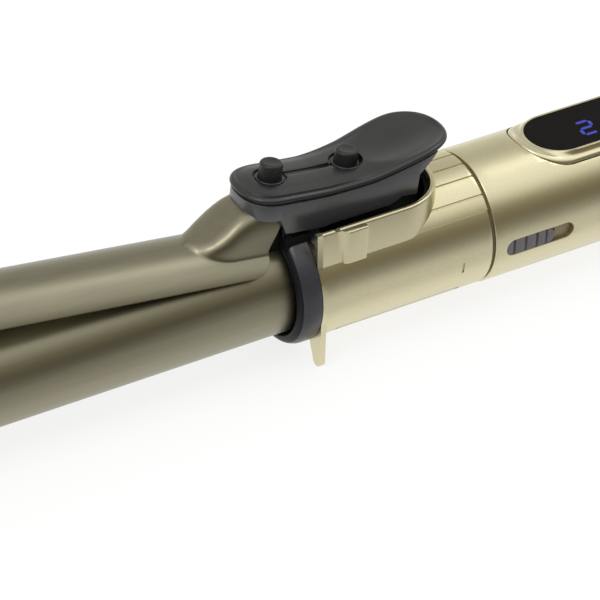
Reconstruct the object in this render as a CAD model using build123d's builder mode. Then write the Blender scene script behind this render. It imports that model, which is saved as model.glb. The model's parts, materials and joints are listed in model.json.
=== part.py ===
from build123d import *
from math import cos, radians, sin, sqrt
import os

os.makedirs("parts", exist_ok=True)

# Rotating curling iron, millimetres. +X runs from the cool tip to the tail, +Z is up (the lever side).
# Stations along the barrel are counted from the back face of the black hinge ring.
# Heights are counted from the barrel's axis, and the part stands on its two feet and its tail.

# Barrel, tip and heater
barrel_radius = 12.7
barrel_wall = 1.2
barrel_exposed = 135.0
barrel_tail = 3.0
tip_length = 22.0
tip_round = 5.0
tip_wall = 1.8
tip_spigot = 9.0
tip_bridge_thickness = 1.2
tip_bridge_from_end = 13.0
heater_length = 92.0
heater_front_gap = 20.0
heater_thickness = 3.2
heater_width = 17.0
spreader_wall = 2.2
fuse_radius = 1.6
fuse_length = 11.0
thermistor_radius = 1.1
thermistor_length = 5.0

# Black hinge ring, with the two ears that carry the clamp
ring_radius = 16.2
ring_width = 5.5
sleeve_length = 5.2
sleeve_bore = 10.5
ear_radius = 2.1
ear_thickness = 2.0
ear_outer_y = 6.6
pin_station = -3.0
pin_height = 19.0
pin_radius = 0.9
pin_clearance = 0.04

# Clamp sheet and its hood
clamp_gap = 0.15
sheet = 0.6
clamp_half_angle = 54.0
clamp_on_tip = 2.0
clamp_back = -8.1
clamp_corner = 5.0
clamp_corner_margin = 0.05
hood_half_width = 7.9
hood_front = -26.4
hood_front_height = 15.4
hood_top = 23.4
hood_top_station = -16.6
hood_back_top = -6.0
hood_round = 3.0
hood_edge_height = 11.0
hood_open_back = 6.0
hood_notch_station = -9.3
clamp_screw_station = -12.8
clamp_screw_y = 2.8
shown_open_angle = 7.8

# Lever
lever_half_width = 8.5
lever_front = -15.8
lever_straight_to = 5.0
pad_half_width = 10.0
pad_station = 27.0
lever_back = 39.3
lever_top = 27.2
rim_rise = [(9.0, 0.0), (16.0, 1.0), (23.5, 3.4), (30.5, 5.7), (40.0, 6.9)]
cap_thickness = 2.2
base_inset = 0.5
lever_wall = 1.3
block_front = -4.8
block_bottom = 16.4
block_flat_to = 5.0
block_back = 28.4
block_back_bottom = 21.7
block_back_top = 26.9
base_back = 33.5
base_back_top = 31.2
skirt_bottom = 20.1
dish_radius = 40.0
dish_depth = 1.2
dish_station = 28.5
dish_tilt = 14.8
dish_seat_rise = 4.9

# Curl buttons on the lever
peg_stations = [-5.7, 14.0]
peg_radius = 2.5
peg_height = 3.2
peg_clearance = 0.05
peg_flange = 3.4
peg_flange_thickness = 0.7
peg_edge = 0.6
moat_radius = 3.5
moat_depth = 0.6
groove_half_width = 1.1
button_travel = 0.45
board_thickness = 0.8
switch_height = 0.8
switch_size = 4.0
ledge_width = 1.1
ledge_thickness = 1.0
ledge_front = 1.0
board_front = -8.9
board_back = 17.5
board_end_gap = 0.3
board_side_gap = 0.2
flange_gap = 0.1
press_gap = 0.05

# Stand, collar and cradle
stand_thickness = 1.4
foot_y = 13.0
foot_root_inner = (9.3, -11.0)
foot_root_outer = (15.3, -4.0)
foot_tip_radius = 1.6
stand_pocket_depth = 1.6
collar_radius = 16.0
collar_wall = 1.8
sleeve_radius = collar_radius - collar_wall
collar_back = 45.7
cradle_inset = 2.5
cradle_half_width = collar_radius - cradle_inset
cradle_wall = 1.3
cradle_center = 23.5
cradle_top = 17.4
cradle_edge = 0.5
boss_station = 8.45
boss_length = 6.1
boss_reach = 1.7
boss_dip = 0.5
rib_rise = 0.35
rib_front = 20.5
rib_half_angle = 54.0
rib_groove_angles = [8.0, 23.0, 41.0]
rib_groove_width = 0.5
rib_groove_depth = 0.45
mark_station = 37.7
mark_angle = 99.0
mark_width = 3.0
tray_floor = 11.2
tray_thickness = 1.2
tray_wall_top = 15.6
collar_cover_front = 6.3
collar_cover_back = 38.6
collar_cover_rise = 5.7
collar_cover_height = collar_cover_rise - collar_radius
cover_gap = 0.12
screw_radius = 1.0
screw_head_radius = 2.0
screw_head_height = 1.2
screw_slot_width = 0.5
screw_slot_length = 2.8
screw_tip_gap = 0.3
collar_screw_inset = 6.0
collar_screw_recess = 0.15
collar_screw_grip = 4.0

# Return spring under the thumb pad
spring_station = 23.4
spring_radius = 2.9
spring_wire = 0.35
spring_turns = 4.5
spring_top = 18.9
spring_seat = 23.0

# Handle
seam_gap = 0.4
handle_radius = 16.2
handle_straight_to = 100.0
handle_back = 182.0
tail_radius = 18.3
handle_wall = 2.0
handle_bore = handle_radius - handle_wall
handle_cover_front = 56.0
handle_cover_back = 174.0
handle_cover_rise = 5.0
handle_cover_height = handle_cover_rise - handle_radius
handle_screw_stations = [70.0, 120.0, 164.0]
handle_screw_recess = 0.3
bulkhead_thickness = 2.2
bush_clearance = 0.05
bush_wall = 1.6
bush_length = 4.6
bulkhead_gap = 0.6

# Rotor frame and drive
frame_disc = 2.0
frame_back_disc = 3.5
frame_back_front_face = 40.0
beam_y = 9.6
beam_size = 3.0
frame_gap = 0.4
journal_room = 7.25
journal_radius = handle_radius - journal_room
journal_wall = 2.95
journal_bore = journal_radius - journal_wall
journal_back = 64.0
journal_end_wall = 3.0
shaft_radius = 2.0
shaft_flat = 1.5
shaft_back = 84.0
slip_ring_stations = [54.0, 56.6, 59.2]
slip_ring_width = 1.4
slip_ring_thickness = 0.4
circlip_station = 51.9
circlip_thickness = 0.7
circlip_groove = 0.9
circlip_rise = 1.25
circlip_radius = journal_radius + circlip_rise

# Slide switch in the side
slot_front = 49.4
slot_back = 68.1
slot_width = 4.4
slot_height = -1.3
slot_depth = 1.3
knob_length = 13.3
knob_gap = 0.1
knob_grooves = [51.5, 54.7, 57.8, 60.4]
knob_groove_width = 0.7
knob_groove_depth = 0.5
stem_length = 4.0
stem_width = 1.6
slide_travel = 4.9
stem_reach = 0.6
slide_switch_depth = 1.8
slide_switch_front = 3.3
slide_switch_back = 8.0
slide_switch_half_height = 2.5
slide_switch_gap = 0.15

# Display and its bezel
bezel_front = 61.0
bezel_back = 151.0
bezel_half_width = 10.5
bezel_sink = 0.03653
bezel_shoulder = sqrt(handle_radius ** 2 - bezel_half_width ** 2) - bezel_sink
bezel_gap = 0.12
bezel_wall = 1.6
bezel_lip = 0.5
window_front = 65.5
window_back = 112.0
window_half_width = 8.0
window_corner = 7.6
window_drop = 1.4
window_plane = handle_radius - window_drop
window_thickness = 1.4
bezel_plate = 1.7
bezel_plate_bottom = window_plane - bezel_plate
board_drop = 6.1
board_height = window_plane - board_drop
control_board_thickness = 1.2
control_board_front = 67.0
control_board_back = 147.0
control_board_half_width = 8.8
module_half_width = 7.0
module_front = 69.0
module_back = 109.0
module_gap = 0.3
panel_button_stations = [121.0, 132.0, 143.0]
panel_button_names = ["plus_button", "minus_button", "power_button"]
panel_button_radius = 3.5
panel_button_rise = 0.6
panel_flange_radius = 4.3
panel_flange_thickness = 0.6
panel_switch_size = 5.0

# Motor, chassis and tail
gearbox_front = 78.0
gearbox_length = 22.0
motor_length = 25.0
motor_room = 8.2
motor_radius = handle_radius - motor_room
motor_step = 0.4
motor_boss_radius = 2.7
motor_boss_length = 1.2
shaft_end_gap = 0.5
chassis_front = 63.0
chassis_back = 173.0
chassis_room = 4.2
chassis_top = chassis_room - handle_bore
chassis_thickness = 1.5
chassis_side_room = 6.0
chassis_half_width = handle_bore - chassis_side_room
chassis_end_wall = 3.0
chassis_end_room = 3.2
chassis_end_radius = handle_bore - chassis_end_room
saddle_width = 4.0
saddle_inset = 3.0
post_radius = 2.6
board_post_stations = [132.0, 143.0]
board_post_y = 7.2
board_post_radius = 1.5
brush_block_front = 53.2
brush_block_half_width = 4.0
brush_block_gap = 0.8
brush_block_bottom = brush_block_gap - handle_bore
brush_reach = 1.55
brush_gap = 0.15
brush_size = 1.2
brush_span = 2.0
tail_cap_thickness = 4.0
tail_round = 2.5
tail_spigot = 5.0
tail_spigot_gap = 0.2
tail_spigot_wall = 1.8
tail_screw_y = 9.0
tail_boss_radius = 2.2
tab_length = 12.3
tab_half_width = 6.5
tab_thickness = 3.0
tab_height = -14.0
hang_hole_radius = 3.0
gland_radius = 5.5
gland_clearance = 0.08
gland_flange = 6.4
gland_flange_thickness = 2.0
gland_length = 12.3
gland_inner_gap = 0.15
gland_taper_from = 2.0
gland_groove_count = 3
gland_groove_from = 4.0
gland_groove_pitch = 2.6
gland_groove_width = 1.1
gland_nose_radius = 4.3
cord_bore = 3.1

# Length of cuts that run clear of the model
cut_reach = 20.0

# The frame: the box without anything hanging from it is centred on the origin, standing on z = 0
axis_height = tail_radius
front_end = -(ring_width + barrel_exposed + tip_length)
back_end = handle_back + tail_cap_thickness + gland_length
ring_x = -(front_end + back_end) / 2
barrel_axis = Axis((0, 0, axis_height), (1, 0, 0))
tip_base = -(ring_width + barrel_exposed)


def across(station):
    return Plane((ring_x + station, 0, axis_height), x_dir=(0, 1, 0), z_dir=(1, 0, 0))


def along(y):
    return Plane((ring_x, y, axis_height), x_dir=(1, 0, 0), z_dir=(0, -1, 0))


def level(height):
    return Plane((ring_x, 0, axis_height + height), x_dir=(1, 0, 0), z_dir=(0, 0, 1))


def save(piece, label, pose=Location()):
    placed = piece.part.moved(pose)
    placed.label = label
    export_step(placed, f"parts/{label}.step")


def tube(front, back, outer, inner):
    with BuildPart() as piece:
        with BuildSketch(across(front)):
            Circle(outer)
            Circle(inner, mode=Mode.SUBTRACT)
        extrude(amount=back - front)
    return piece


def block(front, back, y_from, y_to, bottom, top):
    with BuildPart() as piece:
        with BuildSketch(level(bottom)):
            with Locations((front, y_from)):
                Rectangle(back - front, y_to - y_from, align=(Align.MIN, Align.MIN))
        extrude(amount=top - bottom)
    return piece


# A sector that opens upward by half_angle to each side, as a cutting outline in a cross plane
def wedge_points(half_angle, reach=60.0):
    side = reach * sin(radians(half_angle))
    height = reach * cos(radians(half_angle))
    return [(0, 0), (side, height), (side, reach), (-side, reach), (-side, height), (0, 0)]


# Barrel: a plain tube that ends inside the ring's sleeve
barrel = tube(tip_base, barrel_tail, barrel_radius, barrel_radius - barrel_wall)
save(barrel, "barrel")

# Cool tip: a domed cap with a spigot that plugs into the barrel
barrel_bore = barrel_radius - barrel_wall
with BuildPart() as cool_tip:
    with BuildSketch(across(tip_base)):
        Circle(barrel_radius)
    extrude(amount=-tip_length)
    fillet(cool_tip.edges().sort_by(Axis.X)[0], radius=tip_round)
    with BuildSketch(across(tip_base)):
        Circle(barrel_bore)
    extrude(amount=tip_spigot)
    with BuildSketch(across(tip_base + tip_spigot)):
        Circle(barrel_bore - tip_wall)
    extrude(amount=-(tip_spigot + tip_length - tip_bridge_from_end), mode=Mode.SUBTRACT)
    with BuildSketch(across(front_end)):
        Circle(screw_radius)
    extrude(amount=tip_bridge_from_end, mode=Mode.SUBTRACT)
    with BuildSketch(across(front_end)):
        Circle(screw_head_radius)
    extrude(amount=screw_head_height, mode=Mode.SUBTRACT)
save(cool_tip, "cool_tip")

# Bridge across the tip's inside, and the screw that draws the tip onto it
bridge_front = front_end + tip_bridge_from_end
tip_bridge = tube(bridge_front, bridge_front + tip_bridge_thickness, barrel_bore - tip_wall, screw_radius)
save(tip_bridge, "tip_bridge")

with BuildPart() as tip_screw:
    with BuildSketch(across(front_end)):
        Circle(screw_head_radius)
    extrude(amount=screw_head_height)
    with BuildSketch(across(front_end)):
        Circle(screw_radius)
    extrude(amount=tip_bridge_from_end + 2 * tip_bridge_thickness)
    with BuildSketch(across(front_end)):
        Rectangle(2 * screw_radius, screw_slot_width)
    extrude(amount=screw_head_height / 2, mode=Mode.SUBTRACT)
save(tip_screw, "tip_screw")

# Heater: a flat ceramic plate pressed between two half-round aluminium spreaders
heater_front = tip_base + heater_front_gap
spreader_flat = heater_thickness / 2
with BuildPart() as heat_spreaders:
    for turn in (1, -1):
        with BuildSketch(across(heater_front)):
            Circle(barrel_bore)
            Circle(barrel_bore - spreader_wall, mode=Mode.SUBTRACT)
            with Locations((0, turn * (spreader_flat + spreader_wall / 2))):
                Rectangle(2 * barrel_bore - spreader_wall, spreader_wall)
            with Locations((0, turn * (spreader_flat - barrel_bore))):
                Rectangle(2 * barrel_bore, 2 * barrel_bore, mode=Mode.SUBTRACT)
        extrude(amount=heater_length)
save(heat_spreaders, "heat_spreaders")

heater_plate = block(heater_front, heater_front + heater_length, -heater_width / 2, heater_width / 2,
                     -spreader_flat, spreader_flat)
save(heater_plate, "heater_plate")

# Sensor and fuse lie on the spreaders' inner flats
sensor_height = spreader_flat + spreader_wall
with BuildPart() as thermistor:
    with BuildSketch(across(heater_front + heater_length / 2)):
        with Locations((0, sensor_height + thermistor_radius)):
            Circle(thermistor_radius)
    extrude(amount=thermistor_length)
save(thermistor, "thermistor")

with BuildPart() as thermal_fuse:
    with BuildSketch(across(heater_front + heater_length - fuse_length)):
        with Locations((0, -sensor_height - fuse_radius)):
            Circle(fuse_radius)
    extrude(amount=fuse_length)
save(thermal_fuse, "thermal_fuse")

# Hinge ring: the black ring, its sleeve in the collar and two ears for the clamp's pin
with BuildPart() as hinge_ring:
    with BuildSketch(across(-ring_width)):
        Circle(ring_radius)
    extrude(amount=ring_width)
    with BuildSketch(across(0)):
        Circle(sleeve_radius)
    extrude(amount=sleeve_length)
    for turn in (1, -1):
        with BuildSketch(along(turn * (ear_outer_y - ear_thickness / 2))):
            with Locations((pin_station, pin_height)):
                Circle(ear_radius)
            with Locations((pin_station, pin_height)):
                Rectangle(2 * ear_radius, pin_height - barrel_radius, align=(Align.CENTER, Align.MAX))
        extrude(amount=ear_thickness / 2, both=True)
    with BuildSketch(across(-ring_width)):
        Circle(barrel_radius)
    extrude(amount=ring_width + barrel_tail, mode=Mode.SUBTRACT)
    with BuildSketch(across(-ring_width)):
        Circle(sleeve_bore)
    extrude(amount=ring_width + sleeve_length, mode=Mode.SUBTRACT)
    with BuildSketch(along(0)):
        with Locations((pin_station, pin_height)):
            Circle(pin_radius + pin_clearance)
    extrude(amount=2 * ear_outer_y, both=True, mode=Mode.SUBTRACT)
save(hinge_ring, "hinge_ring")

# Rest stand: a plate between the ring and the collar, with two tongues that are the feet
pocket_half_width = cradle_half_width - cradle_wall
foot_tip_height = -axis_height + foot_tip_radius
with BuildPart() as rest_stand:
    with BuildSketch(across(0)):
        Circle(ring_radius)
        Rectangle(2 * cradle_half_width, cradle_top, align=(Align.CENTER, Align.MIN))
        with Locations((0, sleeve_radius - stand_pocket_depth)):
            Rectangle(2 * pocket_half_width, cradle_top, align=(Align.CENTER, Align.MIN), mode=Mode.SUBTRACT)
        for turn in (1, -1):
            with BuildLine():
                Polyline((turn * foot_root_inner[0], foot_root_inner[1]),
                         (turn * (foot_y - foot_tip_radius), foot_tip_height),
                         (turn * (foot_y + foot_tip_radius), foot_tip_height),
                         (turn * foot_root_outer[0], foot_root_outer[1]),
                         (turn * foot_root_inner[0], foot_root_inner[1]))
            make_face()
            with Locations((turn * foot_y, foot_tip_height)):
                Circle(foot_tip_radius)
        Circle(sleeve_radius, mode=Mode.SUBTRACT)
    extrude(amount=stand_thickness)
save(rest_stand, "rest_stand")


# The cradle's outline in plan: straight sides and a round end, seen from above
def cradle_plan(front, half_width):
    with Locations((front, 0)):
        Rectangle(cradle_center - front, 2 * half_width, align=(Align.MIN, Align.CENTER))
    with Locations((cradle_center, 0)):
        Circle(half_width)


# Collar shell: a tube with the cradle wall standing on it, bosses, ribs and an index mark
collar_bore = collar_radius - collar_wall
cradle_root = sqrt(collar_bore ** 2 - cradle_half_width ** 2)
with BuildPart() as cradle_rail:
    with BuildSketch(level(cradle_root)):
        cradle_plan(stand_thickness, cradle_half_width)
    extrude(amount=cradle_top - cradle_root)
    fillet(cradle_rail.edges().group_by(Axis.Z)[-1], radius=cradle_edge)

with BuildPart() as collar_shell:
    with BuildSketch(across(stand_thickness)):
        Circle(collar_radius)
    extrude(amount=collar_back - stand_thickness)
    with BuildSketch(across(rib_front)):
        Circle(collar_radius + rib_rise)
        with BuildLine():
            Polyline(*wedge_points(rib_half_angle))
        make_face(mode=Mode.INTERSECT)
    extrude(amount=collar_back - rib_front - seam_gap)
    add(cradle_rail.part)
    for turn in (1, -1):
        with BuildSketch(level(0)):
            with Locations((boss_station, turn * (cradle_half_width + boss_reach))):
                Rectangle(boss_length, boss_reach + cradle_wall,
                          align=(Align.CENTER, Align.MAX if turn > 0 else Align.MIN))
        extrude(amount=cradle_top - boss_dip)
    with BuildSketch(level(tray_floor - tray_thickness)):
        cradle_plan(stand_thickness, pocket_half_width)
    extrude(amount=cradle_top, mode=Mode.SUBTRACT)
    with BuildSketch(across(stand_thickness)):
        Circle(collar_bore)
    extrude(amount=frame_back_front_face + frame_back_disc - stand_thickness, mode=Mode.SUBTRACT)
    with BuildSketch(across(stand_thickness)):
        Circle(journal_radius + bush_wall)
    extrude(amount=collar_back, mode=Mode.SUBTRACT)
    for angle in [turn * a for a in rib_groove_angles for turn in (1, -1)]:
        with BuildSketch(across(cradle_center + cradle_half_width + 1)):
            with Locations(Location((0, 0, 0), (0, 0, angle))):
                with Locations((0, collar_radius + rib_rise)):
                    Rectangle(rib_groove_width, 2 * rib_groove_depth)
        extrude(amount=collar_back, mode=Mode.SUBTRACT)
    for turn in (1, -1):
        with BuildSketch(across(mark_station)):
            with Locations(Location((0, 0, 0), (0, 0, turn * mark_angle))):
                with Locations((0, collar_radius)):
                    Rectangle(mark_width, 2 * rib_groove_depth)
        extrude(amount=rib_groove_width, mode=Mode.SUBTRACT)
    with BuildSketch(level(collar_cover_height)):
        with Locations((collar_cover_front, 0)):
            Rectangle(collar_cover_back - collar_cover_front, 2 * collar_radius,
                      align=(Align.MIN, Align.CENTER))
    extrude(amount=-collar_radius, mode=Mode.SUBTRACT)
save(collar_shell, "collar_shell")

# Underside cover of the collar, with two countersunk screws
collar_screw_stations = [collar_cover_front + collar_screw_inset, collar_cover_back - collar_screw_inset]
collar_screw_heads = -collar_radius + collar_screw_recess
with BuildPart() as collar_cover:
    with BuildSketch(across(collar_cover_front + cover_gap)):
        Circle(collar_radius)
        Circle(collar_bore, mode=Mode.SUBTRACT)
        with Locations((0, collar_cover_height - cover_gap)):
            Rectangle(2 * collar_radius, collar_radius, align=(Align.CENTER, Align.MAX),
                      mode=Mode.INTERSECT)
    extrude(amount=collar_cover_back - collar_cover_front - 2 * cover_gap)
    with BuildSketch(level(collar_screw_heads + screw_head_height)):
        with Locations(*[(station, 0) for station in collar_screw_stations]):
            Circle(screw_head_radius)
    extrude(amount=-collar_radius, mode=Mode.SUBTRACT)
    with BuildSketch(level(0)):
        with Locations(*[(station, 0) for station in collar_screw_stations]):
            Circle(screw_radius)
    extrude(amount=-2 * collar_radius, mode=Mode.SUBTRACT)
save(collar_cover, "collar_cover")


# Pan-head screws driven upward: head at the bottom, slot across it
def upward_screws(spots, head_bottom, top):
    with BuildPart() as screws:
        with BuildSketch(level(head_bottom)):
            with Locations(*spots):
                Circle(screw_head_radius)
        extrude(amount=screw_head_height)
        with BuildSketch(level(head_bottom)):
            with Locations(*spots):
                Circle(screw_radius)
        extrude(amount=top - head_bottom)
        with BuildSketch(level(head_bottom)):
            with Locations(*spots):
                Rectangle(screw_slot_length, screw_slot_width)
        extrude(amount=screw_head_height / 2, mode=Mode.SUBTRACT)
    return screws


collar_screw_top = -collar_bore + collar_screw_grip
collar_screws = upward_screws([(station, 0) for station in collar_screw_stations],
                              collar_screw_heads, collar_screw_top)
save(collar_screws, "collar_screws")

# Black tray that lines the cradle's inside
with BuildPart() as cradle_tray:
    with BuildSketch(level(tray_floor - tray_thickness)):
        cradle_plan(sleeve_length, pocket_half_width)
    extrude(amount=tray_wall_top - tray_floor + tray_thickness)
    with BuildSketch(level(tray_floor)):
        cradle_plan(sleeve_length, pocket_half_width - tray_thickness)
    extrude(amount=tray_wall_top, mode=Mode.SUBTRACT)
save(cradle_tray, "cradle_tray")

# Rotor frame: two discs joined by beams, and the hollow journal that runs in the handle's bush
beam_bottom = -collar_bore + frame_gap
with BuildPart() as rotor_frame:
    with BuildSketch(across(sleeve_length)):
        Circle(collar_bore)
        with Locations((0, tray_floor - tray_thickness)):
            Rectangle(2 * collar_bore, collar_bore, align=(Align.CENTER, Align.MIN), mode=Mode.SUBTRACT)
    extrude(amount=frame_disc)
    with BuildSketch(across(frame_back_front_face)):
        Circle(collar_bore)
    extrude(amount=frame_back_disc)
    for turn in (1, -1):
        with BuildSketch(across(sleeve_length)):
            with Locations((turn * beam_y, 0)):
                Rectangle(beam_size, 2 * beam_size)
        extrude(amount=frame_back_front_face - sleeve_length)
    with BuildSketch(across(sleeve_length)):
        with Locations((0, beam_bottom)):
            Rectangle(2 * beam_size, beam_size + screw_radius, align=(Align.CENTER, Align.MIN))
    extrude(amount=frame_back_front_face - sleeve_length)
    with BuildSketch(across(frame_back_front_face)):
        Circle(journal_radius)
    extrude(amount=journal_back - frame_back_front_face)
    with BuildSketch(across(sleeve_length)):
        Circle(journal_bore)
    extrude(amount=journal_back - journal_end_wall - sleeve_length, mode=Mode.SUBTRACT)
    with BuildSketch(across(journal_back)):
        Circle(shaft_radius)
        with Locations((0, shaft_flat)):
            Rectangle(2 * shaft_radius, shaft_radius, align=(Align.CENTER, Align.MIN), mode=Mode.SUBTRACT)
    extrude(amount=-journal_end_wall, mode=Mode.SUBTRACT)
    with BuildSketch(across(circlip_station)):
        Circle(journal_radius)
        Circle(journal_radius - circlip_groove, mode=Mode.SUBTRACT)
    extrude(amount=circlip_thickness, mode=Mode.SUBTRACT)
    with BuildSketch(level(beam_bottom)):
        with Locations(*[(station, 0) for station in collar_screw_stations]):
            Circle(screw_radius)
    extrude(amount=collar_screw_top - beam_bottom, mode=Mode.SUBTRACT)
save(rotor_frame, "rotor_frame")

journal_circlip = tube(circlip_station, circlip_station + circlip_thickness, circlip_radius,
                       journal_radius - circlip_groove)
save(journal_circlip, "journal_circlip")

slip_ring_radius = journal_radius + slip_ring_thickness
with BuildPart() as slip_rings:
    for station in slip_ring_stations:
        with BuildSketch(across(station)):
            Circle(slip_ring_radius)
            Circle(journal_radius, mode=Mode.SUBTRACT)
        extrude(amount=slip_ring_width)
save(slip_rings, "slip_rings")

with BuildPart() as drive_shaft:
    with BuildSketch(across(journal_back - journal_end_wall)):
        Circle(shaft_radius)
        with Locations((0, shaft_flat)):
            Rectangle(2 * shaft_radius, shaft_radius, align=(Align.CENTER, Align.MIN), mode=Mode.SUBTRACT)
    extrude(amount=shaft_back - journal_back + journal_end_wall)
save(drive_shaft, "drive_shaft")

# Return spring, standing on the tray's floor under the thumb pad
spring_bottom = tray_floor + spring_wire
spring_height = spring_top - spring_wire - spring_bottom
with BuildPart() as return_spring:
    with BuildLine(level(spring_bottom)):
        coil = Helix(pitch=spring_height / spring_turns, height=spring_height, radius=spring_radius,
                     center=(spring_station, 0, 0))
    with BuildSketch(Plane(origin=coil @ 0, z_dir=coil % 0)):
        Circle(spring_wire)
    sweep(path=coil, is_frenet=True)
save(return_spring, "return_spring")

# The clamp and its lever are modelled shut and stand open in the rest pose, as they are shown
pin_spot = (ring_x + pin_station, 0, axis_height + pin_height)
opened = Location(pin_spot) * Location((0, 0, 0), (0, shown_open_angle, 0)) * Location(pin_spot).inverse()


# The hood as a block: round nose in plan, a sloping top and soft shoulders; inset gives its inside
def hood_block(inset, back_margin):
    width = hood_half_width - inset
    slope = (hood_top - hood_front_height) / (hood_top_station - hood_front)
    slope_drop = inset * sqrt(1 + slope ** 2)
    crest = hood_top_station + (slope_drop - inset) / slope
    low_station = hood_front - 1
    low_height = hood_top - inset - slope * (crest - low_station)
    with BuildPart() as hood:
        with BuildSketch(level(0)):
            with Locations((hood_front + hood_half_width, 0)):
                Circle(width)
                Rectangle(hood_back_top - hood_front + back_margin - hood_half_width, 2 * width,
                          align=(Align.MIN, Align.CENTER))
        extrude(amount=hood_top - inset)
        with BuildSketch(along(0)):
            with BuildLine():
                Polyline((low_station, low_height), (crest, hood_top - inset), (crest, hood_top + 1),
                         (low_station, hood_top + 1), (low_station, low_height))
            make_face()
        extrude(amount=2 * hood_half_width, both=True, mode=Mode.SUBTRACT)
        upper = hood.faces().filter_by(Axis.Z).sort_by(Axis.Z)[-1]
        sloping = hood.faces().filter_by(GeomType.PLANE).sort_by(Axis.X)[0]
        rims = [edge for edge in upper.edges() + sloping.edges()
                if abs(edge.center().Y) > 0.1 or edge.geom_type != GeomType.LINE]
        fillet(rims, radius=hood_round - inset)
    return hood


hood_outside = hood_block(0, 0)
hood_inside = hood_block(sheet, hood_open_back)
clamp_inner = barrel_radius + clamp_gap
clamp_outer = clamp_inner + sheet
clamp_front = tip_base - clamp_on_tip
clamp_half_chord = clamp_outer * sin(radians(clamp_half_angle)) + clamp_corner_margin

clamp_screw_spots = [(clamp_screw_station, clamp_screw_y), (clamp_screw_station, -clamp_screw_y)]

with BuildPart() as clamp_plate:
    with BuildSketch(across(clamp_front)):
        Circle(clamp_outer)
        with BuildLine():
            Polyline(*wedge_points(clamp_half_angle))
        make_face(mode=Mode.INTERSECT)
    extrude(amount=hood_back_top - clamp_front)
    add(hood_outside.part)
    with BuildSketch(across(clamp_front)):
        Circle(clamp_inner)
    extrude(amount=hood_back_top - clamp_front, mode=Mode.SUBTRACT)
    add(hood_inside.part, mode=Mode.SUBTRACT)
    with BuildSketch(level(0)):
        with Locations(((clamp_front + clamp_back) / 2, 0)):
            RectangleRounded(clamp_back - clamp_front, 2 * clamp_half_chord, clamp_corner)
        with Locations((hood_front, 0)):
            Rectangle(hood_back_top - hood_front, 2 * hood_half_width, align=(Align.MIN, Align.CENTER))
    extrude(amount=hood_top, mode=Mode.INTERSECT)
    with BuildSketch(along(0)):
        with BuildLine():
            Polyline((hood_back_top, hood_top), (clamp_back, hood_edge_height), (clamp_back, 0), (0, 0),
                     (0, hood_top), (hood_back_top, hood_top))
        make_face()
    extrude(amount=2 * hood_half_width, both=True, mode=Mode.SUBTRACT)
    with BuildSketch(level(skirt_bottom)):
        with Locations((hood_notch_station, 0)):
            Rectangle(cut_reach, 2 * (hood_half_width - hood_round / 3), align=(Align.MIN, Align.CENTER))
    extrude(amount=cut_reach, mode=Mode.SUBTRACT)
    with BuildSketch(level(hood_top - 2 * sheet)):
        with Locations(*clamp_screw_spots):
            Circle(screw_radius)
    extrude(amount=3 * sheet, mode=Mode.SUBTRACT)
save(clamp_plate, "clamp_plate", opened)


# Plan outline of the lever, drawn in by inset all round
def lever_plan(inset):
    front = lever_front + inset
    width = lever_half_width - inset
    arc_center = lever_front + lever_half_width
    pad_width = pad_half_width - inset
    with BuildLine() as outline:
        ThreePointArc((arc_center, -width), (front, 0), (arc_center, width))
        Line((arc_center, width), (lever_straight_to, width))
        Spline((lever_straight_to, width), (pad_station, pad_width), tangents=((1, 0), (1, 0)))
        Spline((pad_station, pad_width), (lever_back - inset, 0), (pad_station, -pad_width),
               tangents=((1, 0), (-1, 0)))
        Spline((pad_station, -pad_width), (lever_straight_to, -width), tangents=((-1, 0), (-1, 0)))
        Line((lever_straight_to, -width), (arc_center, -width))
    make_face(outline.edges())


# The lever's top line in side view, lowered by drop
def rim_points(drop):
    return [(station, lever_top + rise - drop) for station, rise in rim_rise]


with BuildPart() as lever_cap:
    with BuildSketch(level(lever_top - cap_thickness)):
        lever_plan(0)
    extrude(amount=rim_rise[-1][1] + cap_thickness)
    with BuildSketch(along(0)):
        with BuildLine():
            Line((lever_front - 1, lever_top), rim_points(0)[0])
            Spline(*rim_points(0), tangents=((1, 0), (1, 0.1)))
            Line(rim_points(0)[-1], rim_points(cap_thickness)[-1])
            Spline(*rim_points(cap_thickness), tangents=((1, 0), (1, 0.1)))
            Line(rim_points(cap_thickness)[0], (lever_front - 1, lever_top - cap_thickness))
            Line((lever_front - 1, lever_top - cap_thickness), (lever_front - 1, lever_top))
        make_face()
    extrude(amount=2 * pad_half_width, both=True, mode=Mode.INTERSECT)
    tilt = radians(dish_tilt)
    dish_height = lever_top + dish_seat_rise + (dish_radius - dish_depth) * cos(tilt)
    with Locations(level(dish_height)):
        with Locations((dish_station - (dish_radius - dish_depth) * sin(tilt), 0)):
            Sphere(dish_radius, mode=Mode.SUBTRACT)
    with BuildSketch(level(lever_top - moat_depth)):
        with Locations(*[(station, 0) for station in peg_stations]):
            Circle(moat_radius)
        with Locations((sum(peg_stations) / 2, 0)):
            Rectangle(peg_stations[1] - peg_stations[0], 2 * groove_half_width)
    extrude(amount=cut_reach, mode=Mode.SUBTRACT)
    with BuildSketch(level(lever_top - cap_thickness)):
        with Locations(*[(station, 0) for station in peg_stations]):
            Circle(peg_radius + peg_clearance)
    extrude(amount=cap_thickness, mode=Mode.SUBTRACT)
    with BuildSketch(level(lever_top - cap_thickness)):
        with Locations(*clamp_screw_spots):
            Circle(screw_radius)
    extrude(amount=cap_thickness / 2, mode=Mode.SUBTRACT)
save(lever_cap, "lever_cap", opened)

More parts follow.
